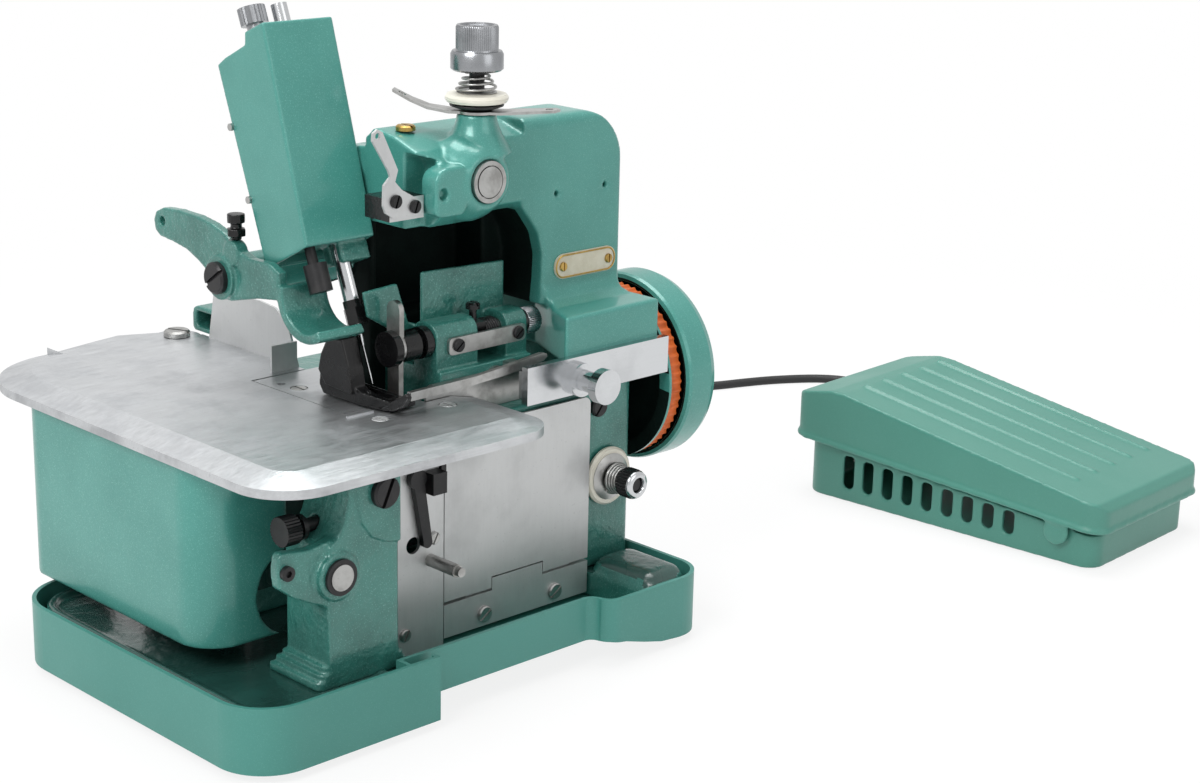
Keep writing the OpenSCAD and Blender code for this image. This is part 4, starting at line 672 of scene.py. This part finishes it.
# %% [markdown]
# ## Castings
# Cast iron and die-cast parts have no sharp edge: the pattern's corners are rounded and the
# inner corners filled. The solids are fused into one skin of small squares, and a few rounds of
# smoothing ease every edge by about the same radius.
# %% Castings
CASTINGS = [
    ("bed_skin", ("bed_casting",), rough_enamel, "root", "enamel_rough", 1.3, 4),
    ("column_skin", ("front_column",), rough_enamel, "root", "enamel_rough", 0.7, 8),
    ("plate_arm_skin", ("plate_arm",), rough_enamel, "root", "enamel_rough", 1.0, 4),
    ("housing_skin", ("housing",), rough_enamel, "root", "enamel_rough", 1.3, 4),
    ("arm_skin", ("arm_casting", "upper_arm"), enamel, "root", "enamel", 0.9, 12),
    ("head_skin", ("head_cover",), enamel, "root", "enamel", 0.6, 14),
    ("bush_skin", ("bar_bushes",), rough_enamel, "root", "enamel_rough", 0.9, 4),
    ("bracket_skin", ("rear_bracket",), rough_enamel, "root", "enamel_rough", 0.8, 6),
    # The chip guard takes the darker cast enamel as painted shade, for it stands in the arm's
    # shade.
    ("guard_skin", ("chip_guard",), rough_enamel, "root", "enamel", 0.6, 4),
    ("cover_skin", ("side_cover",), enamel, "swing_plate", "enamel", 0.8, 5),
    ("presser_skin", ("presser_arm",), rough_enamel, "presser", "enamel_rough", 0.55, 8),
    ("foot_skin", ("presser_foot",), gloss_black, "presser", "black_oxide", 0.4, 5),
    ("tub_skin", ("pedal_base",), pedal_enamel, "root", "enamel_pedal", 0.8, 7),
    ("treadle_skin", ("pedal_treadle",), pedal_enamel, "treadle", "enamel_pedal", 0.8, 8),
]
for name, cad, mat, body, slot, voxel, rounds in CASTINGS:
    skin_mesh = cast_mesh(name, cad, voxel, rounds)
    piece(name, skin_mesh, mat, body, cad, smooth_angle=0)
    skin_mesh.shade_smooth()
    print(name, len(skin_mesh.polygons))
# %% [markdown]
# Shade is painted into what the plate and the cover hide. The inner walls of the arm and the
# cover, the column's back and the bracket's front get a near-black painted shade; the housing's
# walls behind the cover and the bed's floor get a painted shade of darker green.
# %% Painted shade in the hollows
COVER_MID = Vector((60, 128, 0))
HOLLOWS = {
    "arm_skin": (hollow_painted_shade, lambda c, n: (140 < c.x < 222 and c.y > 73 and c.z < 206.5
                                            and not (n.y > 0.3 and c.y > 108))),
    "housing_skin": (green_painted_shade, lambda c, n: (c.x < 226 and 52 < c.y < 181 and 40 < c.z < 118
                                                and not n.z > 0.6)),
    "cover_skin": (hollow_painted_shade, lambda c, n: (n.x * (COVER_MID.x - c.x)
                                              + n.y * (COVER_MID.y - c.y)) > 0),
    "column_skin": (hollow_painted_shade, lambda c, n: c.y > 74),
    "bracket_skin": (hollow_painted_shade, lambda c, n: c.z < 150 and c.y < 180),
}
for name, (dark, inside) in HOLLOWS.items():
    mesh = bpy.data.objects[name].data
    finish_parts(mesh, [mesh.materials[0], dark], lambda c, n: 1 if inside(c, n) else 0)
    print(name, sum(f.material_index for f in mesh.polygons), "dark faces")
# The bed's floor gets the green painted shade.
BED_FLOOR_TOP = 60
mesh = bpy.data.objects["bed_skin"].data
finish_parts(mesh, [rough_enamel, green_painted_shade],
             lambda c, n: 1 if n.z > 0.6 and c.z < BED_FLOOR_TOP else 0)
print("bed floor", sum(f.material_index for f in mesh.polygons), "shade_painted faces")

# %% [markdown]
# ## Machined, sheet and moulded parts
# These keep their solids. Real edges are never knife-sharp, so each gets a fine bevel that
# catches the light; its width follows how the part is made.
# %% Crisp parts
CRISP = {
    tray_enamel: [("tray", 0.7)],
    rubber: [("rubber_feet", 0.8), ("inlet_gland", 0.6), ("pedal_feet", 0.3),
             ("pedal_gland", 0.6)],
    aluminium: [("needle_plate", 0.25), ("cloth_plate", 0.5)],
    sheet: [("side_plate", 0.25), ("hinge_strip", 0.2), ("front_door", 0.3),
            ("plate_guard", 0.25)],
    steel: [("steel_fittings", 0.25), ("thread_guide", 0.2),
            ("lower_knife", 0.2), ("guard_strip", 0.25), ("motor_pulley", 0.4),
            ("upper_knife", 0.2), ("lower_looper", 0.3), ("upper_looper", 0.3)],
    bright: [("knife_holder", 0.35), ("needle", 0.05), ("push_button", 0.8)],
    chrome: [("cover_screw", 0.3)],
    black_steel: [("black_screws", 0.25), ("press_screw", 0.3), ("stitch_knob", 0.2),
                  ("black_lever", 0.4)],
    gloss_black: [("knife_clamp", 0.3)],
    ivory: [("upper_discs", 0.5), ("lower_disc", 0.5)],
    brass: [("brass_screws", 0.15)],
    pale_plate: [("nameplate", 0.2)],
    motor_black: [("motor", 0.8)],
}
for mat, rows in CRISP.items():
    for node, width in rows:
        crisp(node, mat, width)
print("crisp parts", sum(len(rows) for rows in CRISP.values()))
# %% [markdown]
# ## Parts of two finishes
# The handwheel is enamelled outside, with painted shade on its pulley side and in its cup. The
# needle bar is bright and its clamp is black. The take-up lever is a sheet strip, and what stands
# before and behind the strip is black. Each keeps its solid, and a rule on a face's place gives
# the finish.
# %% Handwheel, needle bar and take-up lever
SHAFT_Y, SHAFT_Z, WHEEL_X, WHEEL_R = 79, 115.3, 286, 47.7
FLANGE_R, CUP_DEPTH, RIM_WALL = 39.5, 13, 4.2


def wheel_side(c, n):
    """Painted shade on the pulley and in the cup; enamel on the rim and the outer face."""
    reach = math.hypot(c.y - SHAFT_Y, c.z - SHAFT_Z)
    if c.x < WHEEL_X - 0.2:
        return 0 if reach > FLANGE_R and n.x < 0.5 else 1
    return 1 if c.x < WHEEL_X + CUP_DEPTH and reach < WHEEL_R - RIM_WALL else 0


two_tone("hand_wheel", "handwheel", 0.6, [enamel, hollow_painted_shade], wheel_side, "wheel")
LEAN = math.radians(22)
BAR_TIP, BAR_UP = Vector((124, 76.1, 136.2)), Vector((0, math.sin(LEAN), math.cos(LEAN)))
CLAMP_TOP = 39.2
two_tone("needle_bar_and_clamp", "needle_bar", 0.3, [bright, gloss_black],
         lambda c, n: 1 if (c - BAR_TIP).dot(BAR_UP) < CLAMP_TOP else 0, "needle_drive")
LEVER_FRONT, LEVER_BACK = 57.4, 58.9
two_tone("take_up_lever", "thread_lever", 0.2, [sheet, gloss_black],
         lambda c, n: 1 if c.y < LEVER_FRONT or c.y > LEVER_BACK else 0, "root")
print("two-tone pieces ready")

# %% [markdown]
# ## Thread tensions
# A tension presses the thread between a cone and a disc with a spring, and a knurled nut sets
# the force. A spring is one wire on a helix, so it is a tube along helix points; the turned
# parts are lathe profiles, and a knurl is a ring whose radius waves around the axis.
# %% Springs, cones and nuts
STUD_R, BORE_R = 3.5, 3.4
upper = axis_frame(at(176.5, 66, 256), (0, 0, 1))
lower = axis_frame(at(246, 48, 74), (0, -1, 0))


def turned(name, profile, place, mat, body, slot, stands_for=(), **form):
    """A lathe piece; form goes on to lathe."""
    return piece(name, lathe(name, profile, place, **form), mat, body, stands_for)


def spring(name, place, coil, wire, mat, body):
    """A helix of wire radius mm; coil is (radius, end radius, height, end height, turns)."""
    return piece(name, tube(name, coil_points(place, *coil), wire * MM, 10), mat, body)


turned("upper_stud", [(0, 1.3), (STUD_R, 1.3), (STUD_R, 37.4), (2.9, 38.1), (0, 38.1)],
       upper, black_steel, "root", "steel", ("upper_tension",), segments=48)
turned("upper_cone", [(BORE_R, 1.25), (6.5, 1.25), (12.2, 3.3), (12.4, 3.8), (12.2, 4.2),
                      (BORE_R, 4.6), (BORE_R, 1.25)], upper, black_steel, "root", "steel")
spring("upper_spring", upper, (9.6, 5.2, 10.0, 17.6, 3.2), 0.6, steel, "root")
turned("upper_spring_cup", [(BORE_R, 9.15), (8.8, 9.15), (9.2, 9.5), (8.8, 9.9), (5, 10.4),
                            (BORE_R, 10.4), (BORE_R, 9.15)], upper, steel, "root", "steel")
turned("upper_nut", [
    (3.6, 19.1), (10.9, 19.1), (12, 20), (12, 26.6), (11.2, 28), (9.8, 28.1), (9.6, 28.6),
    (9.75, 29), (9.75, 38.4), (9.2, 39.4), (7.8, 39.5), (7.2, 38.7), (3.6, 38.4), (3.6, 19.1)],
    upper, chrome, "top_nut", "chrome", ("top_knob",), segments=180, teeth=60, depth=0.4,
    toothed=(7, 8))
turned("lower_stud", [(0, 0.2), (STUD_R, 0.2), (STUD_R, 20.6), (3, 21.2), (0, 21.2)],
       lower, black_steel, "root", "steel", ("lower_tension",), segments=48)
turned("lower_cone", [(BORE_R, 3.4), (11.4, 3.4), (11.6, 3.8), (6.6, 6), (BORE_R, 6),
                      (BORE_R, 3.4)], lower, steel, "root", "steel")
spring("lower_spring", lower, (7.6, 5.8, 6.7, 12.7, 4.2), 0.75, steel, "root")
turned("lower_nut", [
    (3.6, 13.6), (6.6, 13.6), (7.2, 14.2), (7.4, 14.6), (7.4, 20.2), (7.1, 20.8), (6.4, 21),
    (3.6, 21), (3.6, 13.6)], lower, gloss_black, "lower_nut", "black_oxide", ("lower_knob",),
    segments=156, teeth=26, depth=0.7, toothed=(3, 4))
turned("lower_nut_face", [(3.6, 20.8), (6.9, 20.8), (7, 21.3), (6.7, 22), (5.6, 22.9), (4, 22.9),
                          (3.6, 22.4), (3.6, 20.8)], lower, bright, "lower_nut", "chrome")
print("tension pieces", 10)

# %% [markdown]
# The upper knife's shaft carries a coil spring between the two blocks of the arm and a fine
# knurled knob at its end. Both turn with the knife.
# %% Knife shaft
knife_axis = axis_frame(at(0, 70, 153), (1, 0, 0))
lo, hi = (in_mm(p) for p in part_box("knife_shaft"))
turned("knife_rod", [(0, lo.x), (3.6, lo.x), (4, lo.x + 0.4), (4, hi.x - 0.6), (3.4, hi.x),
                     (0, hi.x)], knife_axis, steel, "knife", "steel", ("knife_shaft",),
       segments=48)
spring("knife_spring", knife_axis, (5, 5, 182.7, 190.4, 5.5), 0.62, black_steel, "knife")
lo, hi = (in_mm(p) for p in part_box("knife_knob"))
turned("knife_nut", [
    (4, lo.x), (6, lo.x), (6.5, lo.x + 0.5), (6.5, hi.x - 0.6), (6, hi.x - 0.1),
    (4.6, hi.x), (4, hi.x - 0.4), (4, lo.x)], knife_axis, chrome, "knife", "chrome",
    ("knife_knob",), segments=176, teeth=44, depth=0.45, toothed=(2, 3))
print("knife pieces", 3)

# %% [markdown]
# ## Drive belt
# The belt is a moulded rubber band with ribs across it. Its outline is two arcs and two straight
# runs; walking along it and raising the outer face by a wave gives the ribs.
# %% Belt
BELT_X, BELT_W, BELT_T = 277.5, 7.5, 2.4
BIG, SMALL = 41.3, 9.3
MOTOR_Y, MOTOR_Z = 213, 72
gap_y, gap_z = MOTOR_Y - SHAFT_Y, MOTOR_Z - SHAFT_Z
span = math.hypot(gap_y, gap_z)
heading = math.atan2(gap_z, gap_y)
spread = math.acos((BIG - SMALL) / span)
RIB_PITCH, RIB_DEPTH, STEP = 4.2, 1.1, 0.6
BELT_EASE, EDGE_DROP, EDGE_SHARE = 0.5, 0.2, 0.85
outline = []


def arc(cy, cz, radius, start, end):
    """Points and outward normals of an arc, about STEP mm apart."""
    count = max(2, int(abs(end - start) * radius / STEP))
    for i in range(count + 1):
        a = start + (end - start) * i / count
        out = Vector((0, math.cos(a), math.sin(a)))
        outline.append((Vector((0, cy, cz)) + radius * out, out))


def run_to(point):
    """Points of a straight run from the outline's last point towards point."""
    here, out = outline[-1]
    count = int((point - here).length / STEP)
    for i in range(1, count):
        outline.append((here.lerp(point, i / count), out))


def rim_point(cy, cz, radius, a):
    return Vector((0, cy + radius * math.cos(a), cz + radius * math.sin(a)))


arc(SHAFT_Y, SHAFT_Z, BIG, heading + spread, heading - spread + 2 * math.pi)
run_to(rim_point(MOTOR_Y, MOTOR_Z, SMALL, heading - spread))
arc(MOTOR_Y, MOTOR_Z, SMALL, heading - spread, heading + spread)
run_to(rim_point(SHAFT_Y, SHAFT_Z, BIG, heading + spread))
along, verts, faces = 0.0, [], []
length = sum((b[0] - a[0]).length for a, b in zip(outline, outline[1:] + outline[:1]))
pitch = length / round(length / RIB_PITCH)
for i, (p, out) in enumerate(outline):
    along += (p - outline[i - 1][0]).length if i else 0.0
    rib = RIB_DEPTH * (0.5 - 0.5 * math.cos(2 * math.pi * along / pitch)) ** 2
    crest = BELT_T - RIB_DEPTH + rib
    edge = BELT_T - RIB_DEPTH - EDGE_DROP + EDGE_SHARE * rib
    for x, lift in ((0, 0), (0, edge), (BELT_EASE, crest), (BELT_W - BELT_EASE, crest),
                    (BELT_W, edge), (BELT_W, 0)):
        q = p + lift * out
        verts.append(at(BELT_X + x, q.y, q.z))
n, m = len(outline), 6
for i in range(n):
    j = (i + 1) % n
    for k in range(m):
        faces.append((i * m + k, i * m + (k + 1) % m, j * m + (k + 1) % m, j * m + k))
belt_mesh = mesh_of("ribbed_belt", verts, faces)
bm = bmesh.new()
bm.from_mesh(belt_mesh)
bmesh.ops.recalc_face_normals(bm, faces=bm.faces)
bm.to_mesh(belt_mesh)
bm.free()
piece("ribbed_belt", belt_mesh, belt_orange, "root", ("drive_belt",), 50)
print("belt length", round(length), "mm, ribs", round(length / pitch))

# %% [markdown]
# ## Small trim
# The bare plate has a raised gilt border, and the pedal's hinge pin gets a ring of painted
# shade where it passes through the tub's wall. Both are thin rings, swept like the springs.
# %% Border and pin ring
PLATE_Y, PLATE_Z, END_X, END_Z, END_STEPS = 64.9, 177, 4.9, 5.3, 24
plate_ring = []
for cx, a0 in ((231.6, 90), (260.4, -90)):
    for i in range(END_STEPS + 1):
        a = math.radians(a0 + 180 * i / END_STEPS)
        plate_ring.append(at(cx + END_X * math.cos(a), PLATE_Y, PLATE_Z + END_Z * math.sin(a)))
plate_ring.append(plate_ring[0])
piece("plate_border", tube("plate_border", plate_ring, 0.42 * MM, 8), brass, "root")
PEDAL_X, PEDAL_Y, TURN = 484, -80, math.radians(4)
PIN_OUT, PIN_Y, PIN_Z, PIN_R = 0.15, 21.8, 19.3, 4.3


def on_pedal(x, y, z):
    """A place in the pedal's own drawing, which is turned by TURN about its front-left corner."""
    return at(PEDAL_X + x * math.cos(TURN) - y * math.sin(TURN),
              PEDAL_Y + x * math.sin(TURN) + y * math.cos(TURN), z)


pin_ring = [on_pedal(-PIN_OUT, PIN_Y + PIN_R * math.cos(a), PIN_Z + PIN_R * math.sin(a))
            for a in (math.radians(d) for d in range(0, 361, 10))]
# Painted shade: the pin's hole in the tub's wall drawn as a dark ring.
piece("pin_ring", tube("pin_ring", pin_ring, 0.28 * MM, 8), hollow_painted_shade, "root")
print("trim pieces", 2)
